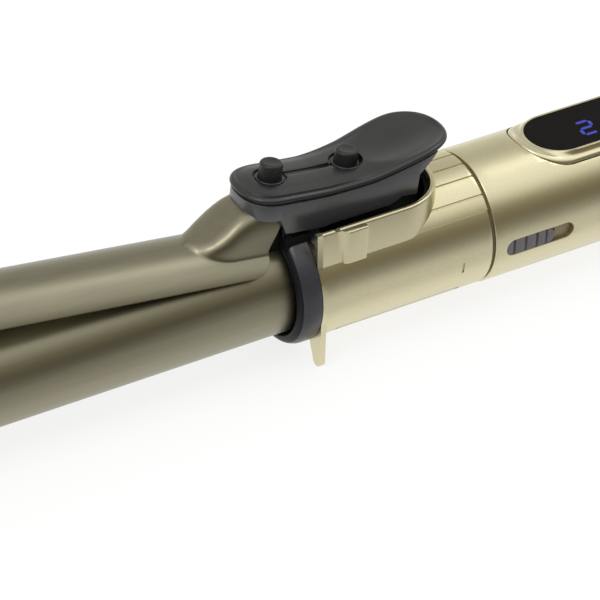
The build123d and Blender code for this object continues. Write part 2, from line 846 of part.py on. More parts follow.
# Lever base: the body below the cap, hollow from below, with ledges for the board and the pin's bores
cap_bottom = lever_top - cap_thickness
board_top = cap_bottom - flange_gap - peg_flange_thickness - button_travel - press_gap - switch_height
board_bottom = board_top - board_thickness
spring_room_front = board_back + board_end_gap + lever_wall
with BuildPart() as lever_base:
    with BuildSketch(level(block_bottom)):
        lever_plan(base_inset)
    extrude(amount=cut_reach)
    with BuildSketch(along(0)):
        with BuildLine():
            Line((lever_front - 1, cap_bottom), rim_points(cap_thickness)[0])
            Spline(*rim_points(cap_thickness), tangents=((1, 0), (1, 0.1)))
            Polyline(rim_points(cap_thickness)[-1], (base_back, base_back_top), (block_back, block_back_top),
                     (block_back, block_back_bottom), (block_flat_to, block_bottom),
                     (block_front, block_bottom), (block_front, skirt_bottom),
                     (lever_front - 1, skirt_bottom), (lever_front - 1, cap_bottom))
        make_face()
    extrude(amount=2 * pad_half_width, both=True, mode=Mode.INTERSECT)
    add(hood_outside.part, mode=Mode.SUBTRACT)
    with BuildSketch(level(block_bottom - 1)):
        lever_plan(base_inset + lever_wall)
        with Locations((hood_notch_station, 0)):
            Rectangle(board_back + board_end_gap - hood_notch_station, 2 * pad_half_width,
                      align=(Align.MIN, Align.CENTER), mode=Mode.INTERSECT)
    extrude(amount=cut_reach, mode=Mode.SUBTRACT)
    with BuildSketch(level(block_bottom - 1)):
        lever_plan(base_inset + lever_wall)
        with Locations((spring_room_front, 0)):
            Rectangle(block_back - lever_wall - spring_room_front, 2 * pad_half_width,
                      align=(Align.MIN, Align.CENTER), mode=Mode.INTERSECT)
    extrude(amount=spring_seat - block_bottom + 1, mode=Mode.SUBTRACT)
    for turn in (1, -1):
        with BuildSketch(level(board_bottom - ledge_thickness)):
            with Locations((ledge_front, turn * (lever_half_width - base_inset))):
                Rectangle(board_back - ledge_front, lever_wall + ledge_width,
                          align=(Align.MIN, Align.MAX if turn > 0 else Align.MIN))
        extrude(amount=ledge_thickness)
    with BuildSketch(along(0)):
        with Locations((pin_station, pin_height)):
            Circle(pin_radius)
    extrude(amount=2 * lever_half_width, both=True, mode=Mode.SUBTRACT)
    with BuildSketch(level(hood_top)):
        with Locations(*clamp_screw_spots):
            Circle(screw_radius)
    extrude(amount=cap_bottom - hood_top, mode=Mode.SUBTRACT)
save(lever_base, "lever_base", opened)

# Hinge pin, pressed into the lever's walls and turning in the ring's ears
with BuildPart() as hinge_pin:
    with BuildSketch(along(0)):
        with Locations((pin_station, pin_height)):
            Circle(pin_radius)
    extrude(amount=lever_half_width - base_inset, both=True)
save(hinge_pin, "hinge_pin", opened)

clamp_screws = upward_screws(clamp_screw_spots, hood_top - sheet - screw_head_height,
                             cap_bottom + cap_thickness / 2)
save(clamp_screws, "clamp_screws", opened)

# Board and two switches under the curl buttons
board_half_width = lever_half_width - base_inset - lever_wall - board_side_gap
lever_board = block(board_front, board_back, -board_half_width, board_half_width, board_bottom, board_top)
save(lever_board, "lever_board", opened)

with BuildPart() as lever_switches:
    with BuildSketch(level(board_top)):
        with Locations(*[(station, 0) for station in peg_stations]):
            Rectangle(switch_size, switch_size)
    extrude(amount=switch_height)
save(lever_switches, "lever_switches", opened)


# A round push button: a cap above its panel and a flange below it
def push_button(station, panel_bottom, top, radius, flange_radius, flange_thickness):
    flange_top = panel_bottom - flange_gap
    with BuildPart() as button:
        with BuildSketch(level(flange_top - flange_thickness)):
            with Locations((station, 0)):
                Circle(flange_radius)
        extrude(amount=flange_thickness)
        with BuildSketch(level(flange_top)):
            with Locations((station, 0)):
                Circle(radius)
        extrude(amount=top - flange_top)
        chamfer(button.edges().group_by(Axis.Z)[-1], length=peg_edge)
    return button


for station, name in zip(peg_stations, ["front_curl_button", "rear_curl_button"]):
    curl_button = push_button(station, cap_bottom, lever_top + peg_height, peg_radius, peg_flange,
                              peg_flange_thickness)
    save(curl_button, name, opened)


# Handle profile at a given inset: straight from the seam, then swelling gently to the tail
handle_front = collar_back + seam_gap


def handle_solid(inset):
    with BuildPart() as solid:
        with BuildSketch(along(0)):
            with BuildLine():
                Line((handle_front, 0), (handle_front, handle_radius - inset))
                Line((handle_front, handle_radius - inset), (handle_straight_to, handle_radius - inset))
                Spline((handle_straight_to, handle_radius - inset), (handle_back, tail_radius - inset),
                       tangents=((1, 0), (1, 0)))
                Line((handle_back, tail_radius - inset), (handle_back, 0))
                Line((handle_back, 0), (handle_front, 0))
            make_face()
        revolve(axis=barrel_axis)
    return solid


handle_outside = handle_solid(0)
handle_inside = handle_solid(handle_wall)


# Plan of the bezel and its opening: two round ends and straight sides
def stadium(front, back, half_width):
    with Locations(((front + back) / 2, 0)):
        SlotOverall(back - front, 2 * half_width)


slot_floor = handle_radius - slot_depth
with BuildPart() as handle_shell:
    add(handle_outside.part)
    add(handle_inside.part, mode=Mode.SUBTRACT)
    with BuildSketch(level(0)):
        stadium(bezel_front, bezel_back, bezel_half_width)
    extrude(amount=2 * handle_radius, mode=Mode.SUBTRACT)
    with BuildSketch(along(-slot_floor)):
        with Locations(((slot_front + slot_back) / 2, slot_height)):
            SlotOverall(slot_back - slot_front, slot_width)
    extrude(amount=handle_radius, mode=Mode.SUBTRACT)
    stem_middle = slot_front + knob_gap + knob_length / 2
    with BuildSketch(along(0)):
        with Locations((stem_middle + slide_travel / 2, slot_height)):
            Rectangle(stem_length + slide_travel + 2 * knob_gap, stem_width + 2 * knob_gap)
    extrude(amount=handle_radius, mode=Mode.SUBTRACT)
    with BuildSketch(level(handle_cover_height)):
        with Locations((handle_cover_front, 0)):
            Rectangle(handle_cover_back - handle_cover_front, 2 * tail_radius,
                      align=(Align.MIN, Align.CENTER))
    extrude(amount=-tail_radius, mode=Mode.SUBTRACT)
save(handle_shell, "handle_shell")

# Underside cover of the handle and the screws that hold it to the chassis
handle_screw_heads = -handle_radius + handle_screw_recess
handle_screw_tops = chassis_top - screw_tip_gap
with BuildPart() as handle_cover:
    add(handle_outside.part)
    add(handle_inside.part, mode=Mode.SUBTRACT)
    with BuildSketch(level(handle_cover_height - cover_gap)):
        with Locations((handle_cover_front + cover_gap, 0)):
            Rectangle(handle_cover_back - handle_cover_front - 2 * cover_gap, 2 * tail_radius,
                      align=(Align.MIN, Align.CENTER))
    extrude(amount=-tail_radius, mode=Mode.INTERSECT)
    with BuildSketch(level(handle_screw_heads + screw_head_height)):
        with Locations(*[(station, 0) for station in handle_screw_stations]):
            Circle(screw_head_radius)
    extrude(amount=-handle_radius, mode=Mode.SUBTRACT)
    with BuildSketch(level(0)):
        with Locations(*[(station, 0) for station in handle_screw_stations]):
            Circle(screw_radius)
    extrude(amount=-2 * handle_radius, mode=Mode.SUBTRACT)
save(handle_cover, "handle_cover")

handle_screws = upward_screws([(station, 0) for station in handle_screw_stations], handle_screw_heads,
                              handle_screw_tops)
save(handle_screws, "handle_screws")

# Bulkhead and bush that carry the rotor's journal
bulkhead_front = handle_front + bulkhead_gap
bush_bore = journal_radius + bush_clearance
bearing_bulkhead = tube(bulkhead_front, bulkhead_front + bulkhead_thickness, handle_bore, bush_bore + bush_wall)
save(bearing_bulkhead, "bearing_bulkhead")

bearing_bush = tube(bulkhead_front, bulkhead_front + bush_length, bush_bore + bush_wall, bush_bore)
save(bearing_bush, "bearing_bush")

# Slide knob with finger grooves, its stem and the switch behind it
knob_front = slot_front + knob_gap
with BuildPart() as slider_knob:
    with BuildSketch(along(-slot_floor - knob_gap)):
        with Locations((knob_front + knob_length / 2, slot_height)):
            SlotOverall(knob_length, slot_width - 2 * knob_gap)
    extrude(amount=slot_depth)
    add(handle_outside.part, mode=Mode.INTERSECT)
    with BuildSketch(along(-handle_radius)):
        with Locations(*[(station, slot_height) for station in knob_grooves]):
            Rectangle(knob_groove_width, slot_width)
    extrude(amount=-knob_groove_depth, mode=Mode.SUBTRACT)
    with BuildSketch(along(-slot_floor - knob_gap)):
        with Locations((stem_middle, slot_height)):
            Rectangle(stem_length, stem_width)
    extrude(amount=-(handle_wall + stem_reach))
save(slider_knob, "slider_knob")

slide_switch_y = handle_wall + stem_reach + slide_switch_gap - slot_floor - knob_gap
slide_switch = block(stem_middle - slide_switch_front, stem_middle + slide_switch_back, slide_switch_y,
                     slide_switch_y + slide_switch_depth, slot_height - slide_switch_half_height,
                     slot_height + slide_switch_half_height)
save(slide_switch, "slide_switch")

# Bezel: a gold frame round the display, with sloping sides and three button holes
bezel_bottom = board_height + control_board_thickness
slope_top = window_half_width + bezel_lip
window_bottom = window_plane - window_thickness
with BuildPart() as display_bezel:
    with BuildSketch(level(bezel_bottom)):
        stadium(bezel_front + bezel_gap, bezel_back - bezel_gap, bezel_half_width - bezel_gap)
    extrude(amount=handle_radius)
    with BuildSketch(across(bezel_front)):
        with BuildLine():
            Polyline((-bezel_half_width, bezel_bottom), (-bezel_half_width, bezel_shoulder),
                     (-slope_top, window_plane), (slope_top, window_plane), (bezel_half_width, bezel_shoulder),
                     (bezel_half_width, bezel_bottom), (-bezel_half_width, bezel_bottom))
        make_face()
    extrude(amount=bezel_back - bezel_front, mode=Mode.INTERSECT)
    with BuildSketch(level(bezel_bottom)):
        stadium(bezel_front + bezel_wall, bezel_back - bezel_wall, bezel_half_width - bezel_wall)
    extrude(amount=bezel_plate_bottom - bezel_bottom, mode=Mode.SUBTRACT)
    with BuildSketch(level(window_bottom)):
        with Locations(((window_front + window_back) / 2, 0)):
            RectangleRounded(window_back - window_front, 2 * window_half_width, window_corner)
    extrude(amount=window_thickness, mode=Mode.SUBTRACT)
    with BuildSketch(level(bezel_bottom)):
        with Locations(((module_front + module_back) / 2, 0)):
            Rectangle(module_back - module_front, 2 * module_half_width)
    extrude(amount=window_plane, mode=Mode.SUBTRACT)
    with BuildSketch(level(bezel_bottom)):
        with Locations(*[(station, 0) for station in panel_button_stations]):
            Circle(panel_button_radius + peg_clearance)
    extrude(amount=window_plane, mode=Mode.SUBTRACT)
save(display_bezel, "display_bezel")

with BuildPart() as display_window:
    with BuildSketch(level(window_bottom)):
        with Locations(((window_front + window_back) / 2, 0)):
            RectangleRounded(window_back - window_front, 2 * window_half_width, window_corner)
    extrude(amount=window_thickness)
save(display_window, "display_window")

display_module = block(module_front + module_gap, module_back - module_gap, -module_half_width + module_gap,
                       module_half_width - module_gap, bezel_bottom, window_bottom)
save(display_module, "display_module")

control_board = block(control_board_front, control_board_back, -control_board_half_width,
                      control_board_half_width, board_height, bezel_bottom)
save(control_board, "control_board")

panel_flange_bottom = bezel_plate_bottom - flange_gap - panel_flange_thickness
with BuildPart() as panel_switches:
    with BuildSketch(level(bezel_bottom)):
        with Locations(*[(station, 0) for station in panel_button_stations]):
            Rectangle(panel_switch_size, panel_switch_size)
    extrude(amount=panel_flange_bottom - button_travel - press_gap - bezel_bottom)
save(panel_switches, "panel_switches")

for station, name in zip(panel_button_stations, panel_button_names):
    panel_button = push_button(station, bezel_plate_bottom, window_plane + panel_button_rise,
                               panel_button_radius, panel_flange_radius, panel_flange_thickness)
    save(panel_button, name)

# Gear motor on the barrel's axis
gearbox_back = gearbox_front + gearbox_length
with BuildPart() as gearbox:
    with BuildSketch(across(gearbox_front)):
        Circle(motor_radius)
    extrude(amount=gearbox_length)
    with BuildSketch(across(gearbox_front)):
        Circle(shaft_radius + bush_clearance)
    extrude(amount=shaft_back - gearbox_front + shaft_end_gap, mode=Mode.SUBTRACT)
save(gearbox, "gearbox")

with BuildPart() as motor:
    with BuildSketch(across(gearbox_back)):
        Circle(motor_radius - motor_step)
    extrude(amount=motor_length)
    with BuildSketch(across(gearbox_back + motor_length)):
        Circle(motor_boss_radius)
    extrude(amount=motor_boss_length)
save(motor, "motor")

# Chassis: a floor with saddles for the gearbox, screw posts, board posts and an end wall
post_bottom = -handle_bore + frame_gap
saddle_stations = [gearbox_front + saddle_inset, gearbox_back - saddle_inset - saddle_width]
tail_screw_spots = [(tail_screw_y, 0), (-tail_screw_y, 0)]
with BuildPart() as chassis:
    with BuildSketch(level(chassis_top - chassis_thickness)):
        with Locations((chassis_front, 0)):
            Rectangle(chassis_back - chassis_front, 2 * chassis_half_width, align=(Align.MIN, Align.CENTER))
    extrude(amount=chassis_thickness)
    for station in saddle_stations:
        with BuildSketch(across(station)):
            with Locations((0, chassis_top)):
                Rectangle(2 * motor_radius, -chassis_top - motor_radius / 2, align=(Align.CENTER, Align.MIN))
            Circle(motor_radius, mode=Mode.SUBTRACT)
        extrude(amount=saddle_width)
    with BuildSketch(level(post_bottom)):
        with Locations(*[(station, 0) for station in handle_screw_stations]):
            Circle(post_radius)
    extrude(amount=chassis_top - chassis_thickness - post_bottom)
    with BuildSketch(level(chassis_top)):
        with Locations(*[(station, turn * board_post_y)
                         for station in board_post_stations for turn in (1, -1)]):
            Circle(board_post_radius)
    extrude(amount=board_height - chassis_top)
    with BuildSketch(across(chassis_back)):
        Circle(chassis_end_radius)
    extrude(amount=-chassis_end_wall)
    with BuildSketch(level(post_bottom)):
        with Locations(*[(station, 0) for station in handle_screw_stations]):
            Circle(screw_radius)
    extrude(amount=handle_screw_tops - post_bottom, mode=Mode.SUBTRACT)
    with BuildSketch(across(chassis_back)):
        with Locations(*tail_screw_spots):
            Circle(screw_radius)
    extrude(amount=-chassis_end_wall, mode=Mode.SUBTRACT)
save(chassis, "chassis")

# Brush block below the slip rings, with three spring-loaded carbon brushes
brush_block_top = -slip_ring_radius - brush_reach
brush_block = block(brush_block_front, chassis_front, -brush_block_half_width, brush_block_half_width,
                    brush_block_bottom, brush_block_top)
save(brush_block, "brush_block")

brush_top = -slip_ring_radius - brush_gap
with BuildPart() as brushes:
    for station in slip_ring_stations:
        with BuildSketch(level(brush_block_top)):
            with Locations((station + slip_ring_width / 2, 0)):
                Rectangle(brush_size, brush_span)
        extrude(amount=brush_top - brush_block_top)
save(brushes, "brushes")

# Tail cap with its spigot and a tab to hang the iron by
tail_bore = tail_radius - handle_wall
cap_back = handle_back + tail_cap_thickness
with BuildPart() as tail_cap:
    with BuildSketch(across(handle_back)):
        Circle(tail_radius)
    extrude(amount=tail_cap_thickness)
    fillet(tail_cap.edges().sort_by(Axis.X)[-1], radius=tail_round)
    with BuildSketch(across(handle_back)):
        Circle(tail_bore - tail_spigot_gap)
        Circle(tail_bore - tail_spigot_gap - tail_spigot_wall, mode=Mode.SUBTRACT)
    extrude(amount=-tail_spigot)
    for spot in tail_screw_spots:
        with BuildSketch(across(handle_back)):
            with Locations(spot):
                Circle(tail_boss_radius)
        extrude(amount=-(handle_back - chassis_back))
    with BuildSketch(level(tab_height)):
        with Locations((cap_back - 1, 0)):
            Rectangle(tab_length + 1 - tab_half_width, 2 * tab_half_width, align=(Align.MIN, Align.CENTER))
        with Locations((cap_back + tab_length - tab_half_width, 0)):
            Circle(tab_half_width)
            Circle(hang_hole_radius, mode=Mode.SUBTRACT)
    extrude(amount=tab_thickness)
    with BuildSketch(across(cap_back)):
        Circle(gland_radius + gland_clearance)
    extrude(amount=-tail_cap_thickness, mode=Mode.SUBTRACT)
    with BuildSketch(across(cap_back)):
        with Locations(*tail_screw_spots):
            Circle(screw_radius)
    extrude(amount=-(cap_back - chassis_back), mode=Mode.SUBTRACT)
    with BuildSketch(across(cap_back)):
        with Locations(*tail_screw_spots):
            Circle(screw_head_radius)
    extrude(amount=-screw_head_height, mode=Mode.SUBTRACT)
save(tail_cap, "tail_cap")

with BuildPart() as tail_screws:
    with BuildSketch(across(cap_back)):
        with Locations(*tail_screw_spots):
            Circle(screw_head_radius)
    extrude(amount=-screw_head_height)
    with BuildSketch(across(cap_back)):
        with Locations(*tail_screw_spots):
            Circle(screw_radius)
    extrude(amount=-(cap_back - chassis_back + chassis_end_wall))
    with BuildSketch(across(cap_back)):
        with Locations(*tail_screw_spots):
            Rectangle(screw_slot_width, screw_slot_length)
    extrude(amount=-screw_head_height / 2, mode=Mode.SUBTRACT)
save(tail_screws, "tail_screws")

# Swivel gland: turns in the tail cap and guides the cord out
gland_inner_face = handle_back - gland_inner_gap
gland_end = cap_back + gland_length
with BuildPart() as swivel_gland:
    with BuildSketch(along(0)):
        with BuildLine():
            Polyline((gland_inner_face - gland_flange_thickness, 0),
                     (gland_inner_face - gland_flange_thickness, gland_flange),
                     (gland_inner_face, gland_flange),
                     (gland_inner_face, gland_radius),
                     (cap_back + gland_taper_from, gland_radius),
                     (gland_end, gland_nose_radius),
                     (gland_end, 0),
                     (gland_inner_face - gland_flange_thickness, 0))
        make_face()
    revolve(axis=barrel_axis)
    with BuildSketch(across(gland_end)):
        Circle(cord_bore)
    extrude(amount=gland_inner_face - gland_flange_thickness - gland_end, mode=Mode.SUBTRACT)
    for groove in range(gland_groove_count):
        with BuildSketch(across(cap_back + gland_groove_from + gland_groove_pitch * groove)):
            Circle(gland_flange)
            Circle(gland_nose_radius, mode=Mode.SUBTRACT)
        extrude(amount=gland_groove_width, mode=Mode.SUBTRACT)
save(swivel_gland, "swivel_gland")
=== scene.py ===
import json
import math

import bmesh
import bpy
from mathutils import Matrix, Vector


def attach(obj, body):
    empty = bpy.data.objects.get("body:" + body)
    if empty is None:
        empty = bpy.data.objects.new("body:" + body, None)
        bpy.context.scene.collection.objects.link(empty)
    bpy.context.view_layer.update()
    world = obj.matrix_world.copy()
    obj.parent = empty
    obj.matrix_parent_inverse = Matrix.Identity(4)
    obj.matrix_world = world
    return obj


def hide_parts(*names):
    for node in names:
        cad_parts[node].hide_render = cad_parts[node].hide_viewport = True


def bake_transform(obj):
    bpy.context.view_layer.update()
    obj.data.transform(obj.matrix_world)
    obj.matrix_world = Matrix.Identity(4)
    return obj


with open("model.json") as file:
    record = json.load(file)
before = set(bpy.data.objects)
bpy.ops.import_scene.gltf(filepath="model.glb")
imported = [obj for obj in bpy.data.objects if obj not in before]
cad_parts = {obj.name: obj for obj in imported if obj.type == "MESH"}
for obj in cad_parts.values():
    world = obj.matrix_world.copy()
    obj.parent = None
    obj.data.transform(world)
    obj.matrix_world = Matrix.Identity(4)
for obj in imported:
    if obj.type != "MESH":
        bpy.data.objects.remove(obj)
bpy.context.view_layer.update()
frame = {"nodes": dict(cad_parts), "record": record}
cadNodes = frame["nodes"]
print("frame loaded with", len(cadNodes), "nodes")

# Pieces are drawn in millimetres, as (station, y, height). The station runs along the barrel from the hinge ring's
# back face, and the height is over the barrel's axis.
layout = {"ringX": -17.9, "axisHeight": 18.3, "pinStation": -3.0, "pinHeight": 19.0, "openAngle": 7.8}
pinSpot = Matrix.Translation((layout["pinStation"], 0, layout["pinHeight"]))
shut = Matrix.Scale(0.001, 4) @ Matrix.Translation((layout["ringX"], 0, layout["axisHeight"]))
opened = shut @ pinSpot @ Matrix.Rotation(math.radians(layout["openAngle"]), 4, "Y") @ pinSpot.inverted()


# Shape helpers

def limited(value):
    return min(max(value, 0), 1)


def pick(sizes, names):
    # Several values of one dictionary at a time
    return [sizes[name] for name in names.split()]


def eased(value):
    # A soft step from 0 to 1
    t = limited(value)
    return 3 * t ** 2 - 2 * t ** 3


def smoothLine(points):
    # A curve through the points, as a function of their first number
    xs, ys = [p[0] for p in points], [p[1] for p in points]
    last = len(points) - 1
    slopes = [(ys[min(i + 1, last)] - ys[max(i - 1, 0)]) / (xs[min(i + 1, last)] - xs[max(i - 1, 0)])
              for i in range(last + 1)]

    def value(x):
        if x <= xs[0]:
            return ys[0]
        if x >= xs[-1]:
            return ys[-1]
        i = next(k for k in range(last) if x <= xs[k + 1])
        span = xs[i + 1] - xs[i]
        t = (x - xs[i]) / span
        return ((2 * t ** 3 - 3 * t ** 2 + 1) * ys[i] + (t ** 3 - 2 * t ** 2 + t) * span * slopes[i]
                + (3 * t ** 2 - 2 * t ** 3) * ys[i + 1] + (t ** 3 - t ** 2) * span * slopes[i + 1])
    return value


def roundedRim(front, radius, soft, steps, squash=1.0):
    # The quarter turn from a front face to the outside of a turned piece
    return [(front + soft * (1 - math.cos(a)), radius - soft * squash * (1 - math.sin(a)))
            for a in (math.radians(90 / steps * k) for k in range(steps + 1))]


def newVerts(made):
    return [part for part in made if isinstance(part, bmesh.types.BMVert)]


def settled(mesh):
    # Joins corners that meet and turns the faces outward
    bmesh.ops.remove_doubles(mesh, verts=mesh.verts, dist=1e-4)
    bmesh.ops.recalc_face_normals(mesh, faces=mesh.faces)
    return mesh


def linkObject(name, data):
    made = bpy.data.objects.new(name, data)
    bpy.context.scene.collection.objects.link(made)
    return made


def meshObject(name, mesh):
    data = bpy.data.meshes.new(name)
    mesh.to_mesh(data)
    mesh.free()
    return linkObject(name, data)


def lathe(profile, steps=96, axis=(1, 0, 0), center=(0, 0, 0)):
    # Turns a profile of (along, radius) points round the barrel's axis, or round an upright one
    mesh = bmesh.new()
    upright = axis[2] == 1
    corners = [mesh.verts.new((center[0] + r, center[1], s) if upright else (s, 0, r)) for s, r in profile]
    pairs = list(zip(corners, corners[1:]))
    if profile[0][1] > 0:
        pairs.append((corners[-1], corners[0]))
    edges = [mesh.edges.new(pair) for pair in pairs]
    bmesh.ops.spin(mesh, geom=corners + edges, axis=axis, cent=center, angle=math.tau, steps=steps, use_merge=True)
    return settled(mesh)


def loft(sections, count):
    # Draws rings of points through a list of functions that give a point for each share of the way round
    mesh = bmesh.new()
    turn = mesh.verts.layers.float.new("turn")
    for vertex in bmesh.ops.create_circle(mesh, cap_ends=False, radius=1, segments=count)["verts"]:
        vertex[turn] = (math.atan2(vertex.co.y, vertex.co.x) / math.tau) % 1
        vertex.co = sections[0](vertex[turn])
    first = edges = list(mesh.edges)
    for section in sections[1:]:
        made = bmesh.ops.extrude_edge_only(mesh, edges=edges)["geom"]
        ring = set(newVerts(made))
        for vertex in ring:
            vertex.co = section(vertex[turn])
        edges = [part for part in made if isinstance(part, bmesh.types.BMEdge) and set(part.verts) <= ring]
    for rim in (first, edges):
        caps = bmesh.ops.edgeloop_fill(mesh, edges=rim)["faces"]
        # A ring that shrinks to a point leaves an empty cap
        bmesh.ops.delete(mesh, geom=[face for face in caps if face.calc_area() < 1e-3], context="FACES_ONLY")
    return settled(mesh)


def box(low, high):
    mesh = bmesh.new()
    bmesh.ops.create_cube(mesh, size=1)
    size, middle = Vector(high) - Vector(low), (Vector(high) + Vector(low)) / 2
    bmesh.ops.scale(mesh, vec=size, verts=mesh.verts)
    bmesh.ops.translate(mesh, vec=middle, verts=mesh.verts)
    return mesh


def rod(start, end, radius, segments=64):
    # A round bar between two points
    mesh = bmesh.new()
    start, end = Vector(start), Vector(end)
    bmesh.ops.create_cone(mesh, cap_ends=True, segments=segments, radius1=radius, radius2=radius,
                          depth=(end - start).length)
    turned = (end - start).to_track_quat("Z", "Y").to_matrix().to_4x4()
    bmesh.ops.transform(mesh, matrix=Matrix.Translation((start + end) / 2) @ turned, verts=mesh.verts)
    return mesh


def post(station, low, high, radius):
    return rod((station, 0, low), (station, 0, high), radius)


def addSlab(mesh, corners, push):
    # A flat outline pushed along a vector
    face = mesh.faces.new([mesh.verts.new(corner) for corner in corners])
    made = bmesh.ops.extrude_face_region(mesh, geom=[face])["geom"]
    bmesh.ops.translate(mesh, vec=push, verts=newVerts(made))
    bmesh.ops.recalc_face_normals(mesh, faces=mesh.faces)
    return mesh


def stadium(front, back, halfWidth):
    # Two round ends and straight sides in plan, as a function of the share of the way round
    straight, arc = back - front - 2 * halfWidth, math.pi * halfWidth
    total = 2 * (straight + arc)

    def spot(share):
        way = share % 1 * total
        if way < arc:
            a = way / halfWidth - math.pi / 2
            return back - halfWidth + halfWidth * math.cos(a), halfWidth * math.sin(a)
        if way < arc + straight:
            return back - halfWidth - (way - arc), halfWidth
        if way < 2 * arc + straight:
            a = (way - arc - straight) / halfWidth + math.pi / 2
            return front + halfWidth + halfWidth * math.cos(a), halfWidth * math.sin(a)
        return front + halfWidth + (way - 2 * arc - straight), -halfWidth
    return spot


def insetStadium(sizes, inset=0.0):
    return stadium(sizes["front"] + inset, sizes["back"] - inset, sizes["halfWidth"] - inset)


def walls(levels, count=160):
    # Upright walls through a list of plan outlines with their heights
    def ring(outline, height):
        return lambda share: (*outline(share), height)
    return loft([ring(outline, height) for outline, height in levels], count)


def combine(body, tool, operation):
    # Cuts, joins or crosses two closed meshes and returns the result
    pair = [meshObject("work", mesh) for mesh in (body, tool)]
    cut = pair[0].modifiers.new("cut", "BOOLEAN")
    cut.operation, cut.solver, cut.object = operation, "EXACT", pair[1]
    shape = pair[0].evaluated_get(bpy.context.evaluated_depsgraph_get())
    result = bmesh.new()
    result.from_mesh(shape.to_mesh())
    shape.to_mesh_clear()
    for work in pair:
        data = work.data
        bpy.data.objects.remove(work)
        bpy.data.meshes.remove(data)
    return result


def cutAway(mesh, *tools):
    for tool in tools:
        mesh = combine(mesh, tool, "DIFFERENCE")
    return mesh


def join(mesh, *others):
    for other in others:
        mesh = combine(mesh, other, "UNION")
    return mesh


def softenEdges(mesh, width, segments=2, angle=35, where=None, merge=0.05):
    # Bevels the corners sharper than the angle, or only those that the test picks
    if merge:
        bmesh.ops.remove_doubles(mesh, verts=mesh.verts, dist=merge)
    edges = [edge for edge in mesh.edges
             if len(edge.link_faces) == 2 and edge.calc_face_angle() > math.radians(angle)
             and (where is None or where((edge.verts[0].co + edge.verts[1].co) / 2))]
    bmesh.ops.bevel(mesh, geom=edges, offset=width, offset_type="OFFSET", segments=segments, profile=0.5,
                    affect="EDGES", clamp_overlap=True, material=-1)
    return mesh


def finishPiece(name, mesh, look, body, replaced=(), place=shut, crease=38):
    bmesh.ops.transform(mesh, matrix=place, verts=mesh.verts)
    piece = meshObject(name, mesh)
    piece.data.shade_smooth()
    piece.data.set_sharp_from_angle(angle=math.radians(crease))
    piece.data.materials.append(finishes[look])
    if body:
        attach(piece, body)
    if replaced:
        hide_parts(*replaced)
    return piece


# Finishes: procedural materials on object coordinates, in metres

def fillInputs(tree, node, values):
    # An output of another node is linked, anything else is set
    for name, value in values.items():
        if isinstance(value, bpy.types.NodeSocket):
            tree.links.new(value, node.inputs[name])
        else:
            node.inputs[name].default_value = value


def addNode(tree, kind, values={}):
    node = tree.nodes.new("ShaderNode" + kind)
    fillInputs(tree, node, values)
    return node


def setStops(ramp, stops):
    # Gives a colour ramp its stops, the first and last in the places of the two it has
    for index, (place, colour) in enumerate(stops):
        if index == 0:
            stop = ramp.elements[0]
        elif index == len(stops) - 1:
            stop = ramp.elements[len(ramp.elements) - 1]
        else:
            stop = ramp.elements.new(place)
        stop.position = place
        stop.color = (*colour, 1)


def newFinish(name, colour, roughness, metallic=0.0, coat=0.0, stretch=(1, 1, 1), grain=900.0, tint=0.06,
              spread=0.05, relief=0.02, reliefScale=2500.0, specular=0.5, ior=1.5):
    look = bpy.data.materials.new(name)
    look.use_nodes = True
    tree = look.node_tree
    place = addNode(tree, "TexCoord")
    mapping = addNode(tree, "Mapping", {"Vector": place.outputs["Object"], "Scale": stretch})
    cloud = addNode(tree, "TexNoise", {"Vector": mapping.outputs["Vector"], "Scale": grain, "Detail": 4.0})
    shade = addNode(tree, "ValToRGB", {"Fac": cloud.outputs["Fac"]})
    setStops(shade.color_ramp, [(0.3, [c * (1 - tint) for c in colour]),
                                (0.7, [min(c * (1 + tint), 1) for c in colour])])
    rough = addNode(tree, "MapRange", {"Value": cloud.outputs["Fac"], "To Min": roughness - spread,
                                       "To Max": roughness + spread})
    fine = addNode(tree, "TexNoise", {"Vector": mapping.outputs["Vector"], "Scale": reliefScale, "Detail": 2.0})
    bump = addNode(tree, "Bump", {"Height": fine.outputs["Fac"], "Strength": relief, "Distance": 0.0002})
    fillInputs(tree, tree.nodes["Principled BSDF"], {
        "Base Color": shade.outputs["Color"], "Roughness": rough.outputs["Result"], "Normal": bump.outputs["Normal"],
        "Metallic": metallic, "Specular IOR Level": specular, "IOR": ior, "Coat Weight": coat, "Coat Roughness": 0.12})
    return look


brushed = {"metallic": 1.0, "stretch": (0.04, 1, 1), "grain": 700, "tint": 0.05, "relief": 0.03}
gold = {"metallic": 1.0, "grain": 2600, "tint": 0.05, "spread": 0.04, "reliefScale": 5000}
plastic = {"grain": 1500, "tint": 0.12, "spread": 0.04, "relief": 0.08, "reliefScale": 3200}
